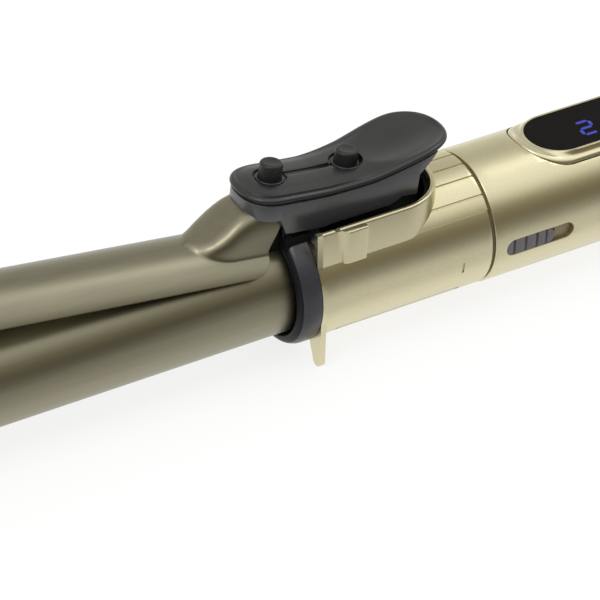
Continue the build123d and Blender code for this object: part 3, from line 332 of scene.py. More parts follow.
# Each finish: colour, roughness, and what differs from a plain plastic
finishSizes = {
    "barrelCoating": ((0.30, 0.28, 0.196), 0.37, brushed),
    # Painted shade: the clamp takes the barrel's coating a little darker, to dim its reflections
    "clampCoatingShaded": ((0.27, 0.252, 0.180), 0.34, brushed),
    "goldShell": ((0.70, 0.645, 0.43), 0.3, gold),
    "goldBezel": ((0.74, 0.68, 0.47), 0.24, {**gold, "tint": 0.04, "spread": 0.03, "relief": 0.012}),
    "goldPlate": ((0.70, 0.645, 0.43), 0.3, {**gold, "grain": 1800, "reliefScale": 2500}),
    "blackPlastic": ((0.0115, 0.0115, 0.013), 0.31, {**plastic, "specular": 0.72}),
    # Painted light: the lever base's sides, a lighter black than the cap's so that they look lit
    "leverSideLit": ((0.042, 0.042, 0.044), 0.3, {**plastic, "specular": 1.0, "ior": 1.58}),
    # Painted shade: the hinge ring's front face, darker than its outside
    "ringFaceShade": ((0.009, 0.009, 0.0115), 0.42, {**plastic, "specular": 0.15}),
    # Painted shade: the curl buttons' black, darker than the cap's so that their sides look shaded
    "pegShadedPlastic": ((0.009, 0.009, 0.0098), 0.42, {**plastic, "specular": 0.55}),
    "ringPlastic": ((0.036, 0.0355, 0.043), 0.30, {**plastic, "tint": 0.10, "relief": 0.06}),
    "greyPlastic": ((0.15, 0.14, 0.148), 0.42, {**plastic, "tint": 0.10, "relief": 0.10}),
    "blackCooltip": ((0.042, 0.042, 0.044), 0.40, {**plastic, "relief": 0.10}),
    # Painted shade: near black for the cradle's lining and the block under the lever's front
    "shadeBlack": ((0.006, 0.006, 0.006), 0.6, {"grain": 1500, "tint": 0.2, "relief": 0.10, "specular": 0.1}),
    "windowGloss": ((0.006, 0.005, 0.005), 0.16, {"grain": 300, "tint": 0.2, "spread": 0.04, "relief": 0.0,
                                                  "specular": 0.05}),
    "displayBody": ((0.02, 0.02, 0.022), 0.5, {"relief": 0.05}),
    "blueDigits": ((0.01, 0.02, 0.12), 0.3, {"relief": 0.0}),
    "brightSteel": ((0.62, 0.61, 0.59), 0.28, {"metallic": 1.0, "grain": 1800, "relief": 0.03}),
    "bareAluminium": ((0.70, 0.70, 0.71), 0.4, {"metallic": 1.0, "stretch": (0.1, 1, 1), "relief": 0.04}),
    "heaterCeramic": ((0.80, 0.78, 0.73), 0.55, {"grain": 1200, "relief": 0.08}),
    "circuitBoard": ((0.02, 0.12, 0.05), 0.4, {"coat": 0.3, "grain": 500, "tint": 0.3, "relief": 0.06}),
    "bronze": ((0.55, 0.36, 0.17), 0.38, {"metallic": 1.0, "grain": 1400, "relief": 0.05}),
    # Painted shade: the dark brown at the bottom of the seam between collar and handle
    "seamShade": ((0.16, 0.13, 0.07), 0.5, {"metallic": 0.5, "grain": 1500, "tint": 0.1, "relief": 0.05}),
    # Painted shade: the brown of the slider's slot recess
    "slotShade": ((0.30, 0.25, 0.14), 0.4, {"metallic": 0.6, "grain": 1500, "tint": 0.1, "relief": 0.05}),
    "carbon": ((0.02, 0.02, 0.02), 0.7, {"grain": 2400, "tint": 0.3, "relief": 0.12}),
}
digitGlow = {"Emission Color": (0.012, 0.028, 0.32, 1), "Emission Strength": 1.0}
slotLooks = {
    "barrel_coating": "barrelCoating", "clamp_coating": "clampCoatingShaded", "gold_shell": "goldShell",
    "gold_plate": "goldPlate", "black_plastic": "blackPlastic", "grey_plastic": "greyPlastic",
    "black_window": "windowGloss", "display_body": "displayBody", "steel": "brightSteel",
    "bare_aluminium": "bareAluminium", "heater_ceramic": "heaterCeramic", "circuit_board": "circuitBoard",
    "bronze": "bronze", "carbon": "carbon",
}
nodeSlots = {row["node"]: row["material_slot"] for row in frame["record"]["subparts"]}

finishes = {name: newFinish(name, colour, roughness, **rest)
            for name, (colour, roughness, rest) in finishSizes.items()}
digitTree = finishes["blueDigits"].node_tree
fillInputs(digitTree, digitTree.nodes["Principled BSDF"], digitGlow)


def dressNodes():
    # Every carried-over CAD node takes its slot's finish, and the cradle's lining a near-black one as painted shade
    # inside the pocket
    for name, node in cadNodes.items():
        look = finishes["shadeBlack" if name == "cradle_tray" else slotLooks[nodeSlots[name]]]
        for index in range(max(len(node.material_slots), 1)):
            if node.material_slots:
                node.material_slots[index].material = look
            else:
                node.data.materials.append(look)


dressNodes()
print("finishes made and CAD nodes dressed")

# Barrel and cool tip
barrelSizes = {"radius": 12.7, "wall": 1.2, "front": -140.5, "back": 3.0, "edge": 0.25}
tipSizes = {"length": 22.0, "round": 5.0, "screwHole": 2.0, "screwDepth": 1.2, "bore": 1.0, "wall": 1.8, "plug": 9.0,
            "cavity": 13.0, "edge": 0.2}


def makeBarrel():
    front, back, radius, wall = pick(barrelSizes, "front back radius wall")
    mesh = lathe([(front, radius - wall), (front, radius), (back, radius), (back, radius - wall)], 128)
    softenEdges(mesh, barrelSizes["edge"])
    finishPiece("barrelTube", mesh, "barrelCoating", "rotor", ["barrel"])


def makeTip():
    base, radius, wall = pick(barrelSizes, "front radius wall")
    length, hole, bore, soft, plug = pick(tipSizes, "length screwHole bore round plug")
    front, plug, inner = base - length, base + plug, radius - wall
    sunk, cavity, core = front + tipSizes["screwDepth"], front + tipSizes["cavity"], inner - tipSizes["wall"]
    mesh = lathe([(sunk, bore), (sunk, hole), (front, hole), *roundedRim(front, radius, soft, 6),
                  (base, radius), (base, inner), (plug, inner), (plug, core), (cavity, core), (cavity, bore)], 128)
    softenEdges(mesh, tipSizes["edge"])
    finishPiece("coolTipCap", mesh, "blackCooltip", "rotor", ["cool_tip"])


makeBarrel()
makeTip()
print("barrel and tip made")

# Clamp sheet with its hood, as one curved sheet over the barrel. Its rows are (steps, length) from the front.
clampSizes = {"inner": 12.85, "sheet": 0.6, "halfAngle": 54.0, "front": -142.5,
              "rows": ((12, 12.0), (26, 96.5), (84, 28.0)), "columns": 120, "corner": 5.0, "noseLength": 12.0,
              "tailLength": 20.0, "backTop": -5.0, "backSide": -8.1, "turnFrom": 16.0, "turnOver": 16.0, "edge": 0.12}
hoodSizes = {"halfWidth": 7.2, "front": -26.2, "taper": 10.0, "foot": 11.5, "shoulders": (2.5, 4.0),
             "squareAfter": 14.0, "blend": 0.9, "noseBlend": 1.2, "noseReach": 8.0, "startReach": 1.5}
hoodRidge = smoothLine([(-27.0, 13.3), (-26.2, 13.75), (-25.0, 14.15), (-23.5, 14.6), (-22.0, 15.25), (-20.5, 16.35),
                        (-19.0, 17.5), (-17.5, 18.75), (-16.0, 19.9), (-14.5, 20.85), (-13.0, 21.5), (-11.0, 22.1),
                        (-5.0, 22.7)])


def clampRadius(station, angle):
    # The sheet's radius in one direction: the larger of sheet and hood, with a hollow between them
    outer = clampSizes["inner"] + clampSizes["sheet"]
    reach = station - hoodSizes["front"]
    if reach <= 0:
        return outer
    taper = max(1 - reach / hoodSizes["taper"], 0)
    half = max(hoodSizes["halfWidth"] * math.sqrt(1 - taper ** 2), 0.05)
    blend = hoodSizes["blend"] + hoodSizes["noseBlend"] * max(1 - reach / hoodSizes["noseReach"], 0)
    foot, (soft, square) = hoodSizes["foot"], hoodSizes["shoulders"]
    rise = max(hoodRidge(station) - foot, 0.1)
    power = soft + (square - soft) * min(reach / hoodSizes["squareAfter"], 1)
    # Halving finds where this direction leaves the hood's squarish section
    low, high = 0.0, 30.0
    for _ in range(26):
        middle = (low + high) / 2
        side = middle * abs(math.sin(angle)) / half
        top = max(middle * math.cos(angle) - foot, 0) / rise
        if side ** power + top ** power < 1:
            low = middle
        else:
            high = middle
    near = max(blend - abs(low - outer), 0)
    return max(low, outer) + near ** 2 / (4 * blend) * min(reach / hoodSizes["startReach"], 1)


def makeClamp():
    front, corner, inner, sheet, backTop, backSide = pick(clampSizes, "front corner inner sheet backTop backSide")
    radius, halfAngle = inner + sheet, math.radians(clampSizes["halfAngle"])
    stations = [front]
    for steps, length in clampSizes["rows"]:
        start = stations[-1]
        stations += [start + length / steps * k for k in range(1, steps + 1)]
    rows, back = len(stations) - 1, stations[-1]
    mesh = bmesh.new()
    bmesh.ops.create_grid(mesh, x_segments=rows, y_segments=clampSizes["columns"], size=0.5)
    for vertex in mesh.verts:
        station = stations[round((vertex.co.x + 0.5) * rows)]
        angle = halfAngle * 2 * vertex.co.y
        toEdge = radius * (halfAngle - abs(angle))
        rounding = 0.0
        if toEdge < corner:
            rounding = corner - math.sqrt(max(corner ** 2 - (corner - toEdge) ** 2, 0))
        turnIn = eased((abs(math.degrees(angle)) - clampSizes["turnFrom"]) / clampSizes["turnOver"])
        rear = backTop + (backSide - backTop) * turnIn
        frontShare = max(0.0, 1 - (station - front) / clampSizes["noseLength"])
        backShare = max(0.0, 1 - (back - station) / clampSizes["tailLength"])
        station += frontShare ** 2 * rounding + backShare ** 2 * (rear - rounding - back)
        r = clampRadius(station, angle)
        vertex.co = (station, r * math.sin(angle), r * math.cos(angle))
    bmesh.ops.recalc_face_normals(mesh, faces=mesh.faces)
    if sum(face.normal.z for face in mesh.faces) < 0:
        bmesh.ops.reverse_faces(mesh, faces=mesh.faces)
    inward = mesh.verts.layers.float_vector.new("inward")
    mesh.normal_update()
    for vertex in mesh.verts:
        vertex[inward] = vertex.normal * -sheet
    made = bmesh.ops.extrude_face_region(mesh, geom=list(mesh.faces), use_keep_orig=True)["geom"]
    for vertex in newVerts(made):
        vertex.co += vertex[inward]
    bmesh.ops.recalc_face_normals(mesh, faces=mesh.faces)
    softenEdges(mesh, clampSizes["edge"], angle=60, merge=0)
    finishPiece("clampSheet", mesh, "clampCoatingShaded", "clamp", ["clamp_plate"], opened, crease=50)


makeClamp()
print("clamp made")

# Lever: its outline in plan, the line of its rim and the rise of its middle
leverSizes = {"front": -14.1, "noseLength": 8.0, "halfWidth": 8.5, "straightTo": 5.0, "padStation": 27.0,
              "padHalfWidth": 10.0, "back": 38.8, "backShare": 0.262, "backPower": 0.92, "frontShare": 0.794,
              "nosePower": 0.85, "spineReach": 1.3}
railLine = smoothLine([(-16, 25.9), (-8, 26.05), (5, 26.15), (8.4, 26.5), (12, 27.05), (16.5, 28.0), (20, 29.15),
                       (24, 30.6), (27.5, 31.8), (30.8, 32.75), (36, 33.6), (40, 33.9)])
crownLine = smoothLine([(-16, 0.9), (-10, 1.15), (4, 1.1), (8, 1.0), (14, 0.6), (18, 0.4), (24, 0.3), (40, 0.3)])
dishSizes = {"station": 28.4, "length": 11.6, "halfWidth": 8.7, "depth": 1.6, "edge": 1.2}
# The cap's rings: shares of the plan, or (inset, drop) below the rim's line
capSizes = {"thickness": 1.45, "underShares": (0.0, 0.4, 0.75),
            "rim": ((1.25, 1.45), (1.15, 1.45), (1.1, 1.4), (0.9, 1.3), (0.3, 1.14), (0.08, 1.02), (0.0, 0.86),
                    (0.03, 0.66), (0.11, 0.48), (0.24, 0.32), (0.41, 0.19), (0.6, 0.1), (0.8, 0.04), (1.0, 0.02)),
            "groove": ((1.2, 0.04), (1.45, 0.09), (1.8, 0.12), (2.3, 0.11), (3.0, 0.06)),
            "topShares": (0.58, 0.5, 0.42, 0.33, 0.22, 0.0), "edge": 0.3, "clearTo": 34}
# The two round buttons, with (drop, inset) steps round their tops, and the sunk rings they stand in
pegSizes = {"stations": (-5.7, 14.0), "radius": 2.7, "top": 30.95, "flange": 3.4, "flangeHeights": (24.2, 24.55),
            "dome": ((0.9, 0.0), (0.62, 0.02), (0.38, 0.1), (0.18, 0.25), (0.06, 0.44), (0.0, 0.68), (0.04, 0.95),
                     (0.14, 1.4)), "dimple": 0.16, "gap": 0.05}
moatSizes = {"radius": 3.95, "floors": (26.6, 27.15), "grooveFloor": 26.9, "grooveHalfWidth": 0.8, "rim": 3.4}
# The base's two steps are (inset, drop), and its underside is (station, height)
baseSizes = {"steps": ((0.45, 1.95), (1.3, 1.47)), "low": 14.0, "high": 38.0, "edge": 0.25,
             "topStations": (-17, -12, -8, 0, 5, 9, 13, 17, 20, 24, 28, 31, 33.5),
             "under": ((28.4, 26.7), (28.4, 21.7), (24.6, 21.7), (21.5, 19.8), (5.0, 16.4), (-4.6, 16.4), (-6.4, 20.1),
                       (-17, 20.1)),
             "boardRoom": ((-9.3, -6.7, 14), (17.8, 6.7, 30)), "springRoom": ((19.1, -7.7, 14), (27.0, 7.7, 23.0))}


def leverOutline(share, inset=0.0, shrink=1.0):
    # A point of the plan, and how much of the way from the spine is kept
    side = 1 if share < 0.5 else -1
    way = 2 * share if share < 0.5 else 2 - 2 * share
    pad, half, wide, nose, straight = pick(leverSizes, "padStation halfWidth padHalfWidth noseLength straightTo")
    backShare, frontShare, backPower, nosePower = pick(leverSizes, "backShare frontShare backPower nosePower")
    arcStart = leverSizes["front"] + nose
    if way < backShare:
        a = way / backShare * math.pi / 2
        x = pad + (leverSizes["back"] - pad) * math.cos(a) ** backPower
        y = wide * math.sin(a) ** backPower
    elif way < frontShare:
        x = pad + (arcStart - pad) * (way - backShare) / (frontShare - backShare)
        y = half + (wide - half) * eased((x - straight) / (pad - straight))
    else:
        a = (way - frontShare) / (1 - frontShare) * math.pi / 2
        x = arcStart - nose * math.sin(a) ** nosePower
        y = half * math.cos(a) ** nosePower
    spine = min(max(x, arcStart), pad + leverSizes["spineReach"])
    keep = max(0.0, 1 - inset / math.hypot(x - spine, y)) * shrink
    return spine + (x - spine) * keep, side * y * keep, keep


def capTop(x, y, keep):
    dish = ((x - dishSizes["station"]) / dishSizes["length"]) ** 2 + (y / dishSizes["halfWidth"]) ** 2
    depth = dishSizes["depth"] * max(0.0, 1 - dish) ** dishSizes["edge"]
    return railLine(x) + crownLine(x) * (1 - keep ** 3) - depth


def capRing(inset, drop, shrink=1.0, follow=True):
    def section(share):
        x, y, keep = leverOutline(share, inset, shrink)
        return (x, y, (capTop(x, y, keep) if follow else railLine(x)) - drop)
    return section


def makeCap():
    sections = [capRing(0, capSizes["thickness"], shrink, follow=False) for shrink in capSizes["underShares"]]
    sections += [capRing(inset, drop, follow=False) for inset, drop in capSizes["rim"]]
    sections += [capRing(inset, drop) for inset, drop in capSizes["groove"]]
    sections += [capRing(0, 0, shrink) for shrink in capSizes["topShares"]]
    front, rear = pegSizes["stations"]
    high, half = capSizes["clearTo"], moatSizes["grooveHalfWidth"]
    moat = join(*[post(station, floor, high, moatSizes["radius"])
                  for station, floor in zip(pegSizes["stations"], moatSizes["floors"])],
                box((front, -half, moatSizes["grooveFloor"]), (rear, half, high)))
    holes = [post(station, 20, high, pegSizes["radius"] + pegSizes["gap"]) for station in pegSizes["stations"]]
    mesh = cutAway(loft(sections, 220), moat, *holes)
    softenEdges(mesh, capSizes["edge"], 3, angle=50, where=lambda p: p.z > railLine(p.x) + 0.6 and abs(p.y) < 4.2,
                merge=0.04)
    finishPiece("leverCap", mesh, "blackPlastic", "clamp", ["lever_cap"], opened)


def makeBase():
    # A body and a narrower riser under the cap, with room for the board and the spring
    steps = []
    for inset, drop in baseSizes["steps"]:
        plan = walls([(lambda share: leverOutline(share, inset)[:2], baseSizes[end]) for end in ("low", "high")])
        outline = [(x, railLine(x) - drop) for x in baseSizes["topStations"]] + list(baseSizes["under"])
        side = addSlab(bmesh.new(), [(x, -14, z) for x, z in outline], (0, 28, 0))
        steps.append(combine(plan, side, "INTERSECT"))
    softenEdges(steps[0], baseSizes["edge"], 3, angle=50, merge=0.12)
    mesh = cutAway(join(*steps), box(*baseSizes["boardRoom"]), box(*baseSizes["springRoom"]))
    # The base's sides take the lighter black as painted light
    finishPiece("leverBase", mesh, "leverSideLit", "clamp", ["lever_base"], opened)


def domedButton(station, sizes):
    # A round button with a flange at its foot and a shallow dimple on top
    r, top, flange, (low, high) = pick(sizes, "radius top flange flangeHeights")
    profile = [(low, 0.0), (low, flange), (high, flange), (high, r)]
    profile += [(top - drop, r - inset) for drop, inset in sizes["dome"]] + [(top - sizes["dimple"], 0.0)]
    return lathe(profile, 64, axis=(0, 0, 1), center=(station, 0, 0))


def makePegs():
    r, rim = pegSizes["radius"], moatSizes["rim"]
    for end, station, floor in zip(("front", "rear"), pegSizes["stations"], moatSizes["floors"]):
        finishPiece(end + "CurlButton", domedButton(station, pegSizes), "pegShadedPlastic", end + "_curl",
                    [end + "_curl_button"], opened)
        ring = lathe([(floor - 0.4, r + 0.06), (floor - 0.4, rim), (floor + 0.24, rim), (floor + 0.38, rim - 0.06),
                      (floor + 0.46, rim - 0.2), (floor + 0.46, r + 0.26), (floor + 0.36, r + 0.06)], 64,
                     axis=(0, 0, 1), center=(station, 0, 0))
        finishPiece("pegRim" + end.capitalize(), ring, "blackPlastic", "clamp", [], opened)


# The return spring under the thumb pad, and the lever's hidden fixings with the screw's turned profile
springSizes = {"station": 23.4, "radius": 2.9, "wire": 0.35, "turns": 4.5, "low": 11.55, "high": 18.55, "steps": 26}
fixingSizes = {"pinHalf": 7.5, "pinRadius": 0.9, "screwStation": -11.4, "screwSide": 2.8,
               "screw": ((20.4, 0.0), (20.4, 0.9), (20.6, 1.1), (21.3, 1.1), (21.3, 0.7), (23.6, 0.7), (23.9, 0.0))}


def makeSpring():
    # It follows the collar at its foot and the lever at its top
    turns, low, high, wire = pick(springSizes, "turns low high wire")

    def ring(way):
        def section(share):
            a, around = math.tau * turns * way, math.tau * share
            reach = springSizes["radius"] + wire * math.cos(around)
            return (springSizes["station"] + reach * math.cos(a), reach * math.sin(a),
                    low + (high - low) * way + wire * math.sin(around))
        return section
    steps = round(turns * springSizes["steps"])
    mesh = loft([ring(k / steps) for k in range(steps + 1)], 12)
    spring = finishPiece("returnSpring", mesh, "brightSteel", None, ["return_spring"])
    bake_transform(spring)


def makeHiddenFixings():
    # The hinge pin's ends stay inside the base, and two screws hold it to the hood from below
    (station, height), half = pick(layout, "pinStation pinHeight"), fixingSizes["pinHalf"]
    pin = rod((station, -half, height), (station, half, height), fixingSizes["pinRadius"], 32)
    finishPiece("hingePin", pin, "brightSteel", "rotor", ["hinge_pin"])
    screws = join(*[lathe(fixingSizes["screw"], 32, axis=(0, 0, 1),
                          center=(fixingSizes["screwStation"], turn * fixingSizes["screwSide"], 0))
                    for turn in (1, -1)])
    finishPiece("clampScrews", screws, "brightSteel", "clamp", ["clamp_screws"], opened)


makeCap()
makeBase()
makePegs()
makeHiddenFixings()
makeSpring()
print("lever made")

# Hinge ring with its ears, and a block under the lever's front painted near-black as painted shade, whose boxes are
# given by two corners each
ringSizes = {"radius": 16.2, "width": 5.5, "bore": 12.72, "boreEnd": 3.0, "sleeve": 14.2, "sleeveEnd": 5.2,
             "sleeveBore": 10.5, "earY": (4.6, 6.6), "earRadius": 2.1, "earFoot": 12.9, "round": 2.9, "squash": 0.8,
             "recess": 1.6, "recessRadius": 13.7, "flat": 13.5, "faceEnd": -4.4}
saddleShadeSizes = {"blocks": (((-9.0, -5.7, 8.0), (-3.4, 5.7, 15.9)), ((-4.7, -7.9, 8.0), (-3.4, 7.9, 15.9)),
                          ((-5.4, -8.7, 12.2), (-0.1, 8.7, 15.1)), ((-0.2, -8.7, 13.0), (1.2, 8.7, 14.5))),
               "opening": ((-12, -4.2, 0), (0, 4.2, 20)), "gap": 0.05, "edge": 0.3}


def makeRing():
    width, radius, soft, squash = pick(ringSizes, "width radius round squash")
    bore, boreEnd, sleeve, end, inside = pick(ringSizes, "bore boreEnd sleeve sleeveEnd sleeveBore")
    front = -width
    mesh = lathe([(front + ringSizes["recess"], bore), (front, ringSizes["recessRadius"]),
                  *roundedRim(front, radius, soft, 6, squash), (-0.35, radius), (-0.1, radius - 0.1),
                  (0, radius - 0.35), (0, sleeve), (end, sleeve), (end, inside), (boreEnd, inside), (boreEnd, bore)],
                 128)
    mesh = cutAway(mesh, box((front - 1, -12, ringSizes["flat"]), (0, 12, 20)))
    (pin, height), earRadius = pick(layout, "pinStation pinHeight"), ringSizes["earRadius"]
    for turn in (1, -1):
        near, far = sorted(turn * y for y in ringSizes["earY"])
        mesh = join(mesh, join(rod((pin, near, height), (pin, far, height), earRadius, 40),
                               box((pin - earRadius, near, ringSizes["earFoot"]), (pin + earRadius, far, height))))
    # The front face is painted darker than the outside, as painted shade where it faces away from the light
    for face in mesh.faces:
        face.material_index = int(face.calc_center_median().x < ringSizes["faceEnd"])
    ring = finishPiece("hingeRing", mesh, "ringPlastic", "rotor", ["hinge_ring"])
    ring.data.materials.append(finishes["ringFaceShade"])


def makeSaddleShade():
    mesh = join(*[box(*corners) for corners in saddleShadeSizes["blocks"]])
    mesh = cutAway(mesh, rod((-20, 0, 0), (20, 0, 0), barrelSizes["radius"] + saddleShadeSizes["gap"], 128),
                   box(*saddleShadeSizes["opening"]))
    softenEdges(mesh, saddleShadeSizes["edge"], angle=40, merge=0.02)
    # The block is painted near-black as painted shade under the lever's front
    finishPiece("hingeSaddleShade", mesh, "shadeBlack", "rotor", [])


makeRing()
makeSaddleShade()

# Rest stand: the plate behind the ring with two feet
standSizes = {"thickness": 1.4, "radius": 16.2, "halfWidth": 13.5, "top": 17.4, "pocket": 12.2, "pocketFrom": 12.6,
              "bore": 14.2, "footY": 13.0, "footRadius": 1.6, "footInside": (9.3, -11.0), "footOutside": (15.3, -4.0),
              "cornerRound": 1.6, "edge": 0.28}


def makeStand():
    thick, half, footY, soft = pick(standSizes, "thickness halfWidth footY footRadius")
    mesh = join(rod((0, 0, 0), (thick, 0, 0), standSizes["radius"], 128),
                box((0, -half, 0), (thick, half, standSizes["top"])))
    tip = -layout["axisHeight"] + soft
    (insideY, insideZ), (outsideY, outsideZ) = standSizes["footInside"], standSizes["footOutside"]
    for turn in (1, -1):
        foot = addSlab(bmesh.new(), [(0, turn * insideY, insideZ), (0, turn * (footY - soft), tip),
                                     (0, turn * (footY + soft), tip), (0, turn * outsideY, outsideZ)], (thick, 0, 0))
        mesh = join(mesh, join(foot, rod((0, turn * footY, tip), (thick, turn * footY, tip), soft, 32)))
    pocket = standSizes["pocket"]
    mesh = cutAway(mesh, rod((-1, 0, 0), (thick + 1, 0, 0), standSizes["bore"], 128),
                   box((-1, -pocket, standSizes["pocketFrom"]), (thick + 1, pocket, 20)))
    softenEdges(mesh, standSizes["cornerRound"], 6, where=lambda p: p.x < 0.1 and abs(p.y) > half - 0.05 and p.z > 9,
                merge=0.02)
    softenEdges(mesh, standSizes["edge"], 3, angle=40, merge=0.02)
    finishPiece("restStand", mesh, "goldPlate", "rotor", ["rest_stand"])


makeStand()
print("ring and stand made")

# Collar shell: ribbed tube, cradle wall and bosses
collarSizes = {"radius": 16.0, "bore": 14.2, "boreEnd": 43.5, "shaftBore": 10.55, "front": 1.4, "back": 45.6,
               "stations": (6, 12, 18, 20.5, 21.5, 22.5, 23.5, 28, 34, 40, 44.6), "ribRise": 0.35, "ribFrom": 20.5,
               "ribOver": 3.0, "ribAngle": 54.0, "ribEdge": 0.9, "grooves": (8.0, 23.0, 41.0), "grooveHalf": 0.95,
               "grooveDepth": 0.42, "coverRoom": ((5.85, -18, -20), (39.05, 18, -10.18)),
               "mark": ((37.45, -1.5, 15.55), (37.95, 1.5, 17)), "markAngle": 99}
# The cradle's wall and its pocket, with the (drop, inset) steps of their rims below the wall's top
cradleSizes = {"halfWidth": 13.5, "wall": 1.3, "back": 37.0, "foot": 4.6, "top": 17.4, "trayLow": 10.0,
               "outerRim": ((0.6, 0), (0.33, 0.06), (0.14, 0.2), (0.03, 0.4), (0, 0.6)),
               "innerRim": ((0.5, 0), (0.2, -0.07), (0.05, -0.2), (-0.03, -0.36), (-4, -0.36))}
# Each boss: how far it stands out of the wall along the barrel, its top with (drop, inset) steps, and how much it
# leans in below; the dip is a small round cut into the wall's rim in front of it
bossSizes = {"outline": ((5.2, -1.0), (5.2, 0.0), (5.9, 0.25), (6.4, 0.7), (6.8, 1.25), (7.3, 1.58), (8.0, 1.7),
                         (11.9, 1.7), (12.4, 1.5), (12.65, 1.1), (12.7, 0.6), (12.7, -1.0)),
             "top": 17.2, "bottom": 8.2, "rim": ((0.45, 0), (0.25, 0.06), (0.1, 0.18), (0, 0.38)), "lean": 0.8,
             "dip": (5.3, 17.9), "dipRadius": 0.9}


def ribRadius(station, share):
    angle = abs((math.degrees(share * math.tau) + 180) % 360 - 180)
    edge = collarSizes["ribEdge"]
    rise = collarSizes["ribRise"] * limited((collarSizes["ribAngle"] + edge - angle) / edge)
    for groove in collarSizes["grooves"]:
        off = abs(angle - groove) / collarSizes["grooveHalf"]
        if off < 1:
            rise -= collarSizes["grooveDepth"] * (1 - off ** 4)
    return collarSizes["radius"] + rise * limited((station - collarSizes["ribFrom"]) / collarSizes["ribOver"])


def collarRing(station, drop=0.0, radius=None):
    def section(share):
        r = radius if radius else ribRadius(station, share) - drop
        return (station, r * math.sin(share * math.tau), r * math.cos(share * math.tau))
    return section


def makeBoss(turn):
    outline, top, bottom = pick(bossSizes, "outline top bottom")
    back, reach = max(x for x, out in outline), max(out for x, out in outline)

    def ring(height, inset):
        lean = bossSizes["lean"] * (top - height) / (top - bottom)

        def section(share):
            x, out = outline[round(share * len(outline)) % len(outline)]
            return (min(x, back - inset), turn * (cradleSizes["halfWidth"] + min(out, reach - inset) - lean), height)
        return section
    return loft([ring(bottom, 0)] + [ring(top - drop, inset) for drop, inset in bossSizes["rim"]], len(outline))


def makeCollar():
    front, back, bore, boreEnd, shaft = pick(collarSizes, "front back bore boreEnd shaftBore")
    sections = [collarRing(front, radius=9.0), collarRing(front, radius=15.7), collarRing(front + 0.08, 0.08),
                collarRing(front + 0.3)]
    sections += [collarRing(station) for station in collarSizes["stations"]]
    sections += [collarRing(back - 0.35), collarRing(back - 0.12, 0.06), collarRing(back, 0.25),
                 collarRing(back, radius=12.0)]
    top, end, half, thick = pick(cradleSizes, "top back halfWidth wall")
    outer = {"front": 2 * front - end, "back": end, "halfWidth": half}
    wall = walls([(insetStadium(outer), cradleSizes["foot"])]
                 + [(insetStadium(outer, inset), top - drop) for drop, inset in cradleSizes["outerRim"]])
    wall = cutAway(wall, box((-60, -20, 0), (front, 20, 20)))
    dipX, dipZ = bossSizes["dip"]
    for turn in (1, -1):
        wall = cutAway(join(wall, makeBoss(turn)),
                       rod((dipX, turn * 11, dipZ), (dipX, turn * 14, dipZ), bossSizes["dipRadius"], 40))
    inner = {**outer, "back": end - thick, "halfWidth": half - thick}
    pocket = walls([(insetStadium(inner), cradleSizes["trayLow"])]
                   + [(insetStadium(inner, inset), top - drop) for drop, inset in cradleSizes["innerRim"]])
    inside = lathe([(0, 0.0), (0, bore), (boreEnd, bore), (boreEnd, shaft), (50, shaft), (50, 0.0)])
    mesh = cutAway(join(loft(sections, 720), wall), pocket, inside, box(*collarSizes["coverRoom"]))
    for turn in (1, -1):
        mark = box(*collarSizes["mark"])
        bmesh.ops.rotate(mark, cent=(0, 0, 0), verts=mark.verts,
                         matrix=Matrix.Rotation(math.radians(turn * collarSizes["markAngle"]), 3, "X"))
        mesh = cutAway(mesh, mark)
    finishPiece("collarShell", mesh, "goldShell", "rotor", ["collar_shell"], crease=32)


makeCollar()
print("collar made")

# Handle shell, with the display's opening and the slider's slot
handleSizes = {"front": 46.4, "radius": 16.2, "swellFrom": 100.0, "back": 182.0, "tailRadius": 18.3, "wall": 2.0,
               "lip": 0.45, "firstStation": 46.9, "stationPitch": 2.6, "coverRoom": ((56, -20, -22), (174, 20, -11.2)),
               "displayEdge": 0.16, "slotEdge": 0.22}
slotSizes = {"front": 49.4, "back": 68.1, "halfWidth": 2.2, "height": -1.3, "floor": 14.9, "gap": 0.12, "liner": 0.35,
             "linerTop": 15.75, "linerFloor": 0.05, "stemRoom": (4.4, 14.0), "stemHalf": 0.9}
knobSizes = {"length": 13.3, "low": 0.1, "radius": 16.12, "grooves": (51.5, 54.7, 57.8, 60.4), "grooveWidth": 0.7,
             "grooveDepth": 0.55, "edge": 0.2, "stem": (54.2, 58.2), "stemHalf": 0.8}
seamSizes = {"stations": (45.75, 46.7), "radii": (13.0, 15.6)}
bezelSizes = {"front": 61.0, "back": 151.0, "halfWidth": 10.5, "gap": 0.35, "undercut": 0.9, "plane": 14.8,
              "lipFront": 65.0, "lipBack": 148.3, "lipHalfWidth": 8.5, "bottom": 9.9,
              "skin": ((0.0, 0.26), (0.02, 0.1), (0.07, -0.02), (0.16, -0.08), (0.28, -0.04), (0.4, 0.12),
                       (0.55, 0.28), (0.7, 0.3), (0.84, 0.12), (0.92, -0.04), (0.97, -0.08), (1.0, -0.04)),
              "room": ((69, -7, 5), (109, 7, 13.6))}
handleRadius = smoothLine([(handleSizes["swellFrom"], handleSizes["radius"]), (114, 16.42), (130, 16.98), (146, 17.6),
                           (162, 18.08), (174, 18.26), (handleSizes["back"], handleSizes["tailRadius"])])


def sideways(outline, near, far):
    # Stands a plan outline up on the side of the handle, from near to far along -y
    return loft([lambda s: (outline(s)[0], -near, outline(s)[1] + slotSizes["height"]),
                 lambda s: (outline(s)[0], -far, outline(s)[1] + slotSizes["height"])], 96)


def stemRoom():
    # Where the knob's stem passes through the handle's wall
    front, height, (near, far), half = pick(slotSizes, "front height stemRoom stemHalf")
    return box((front + near, -18, height - half), (front + far, -10, height + half))


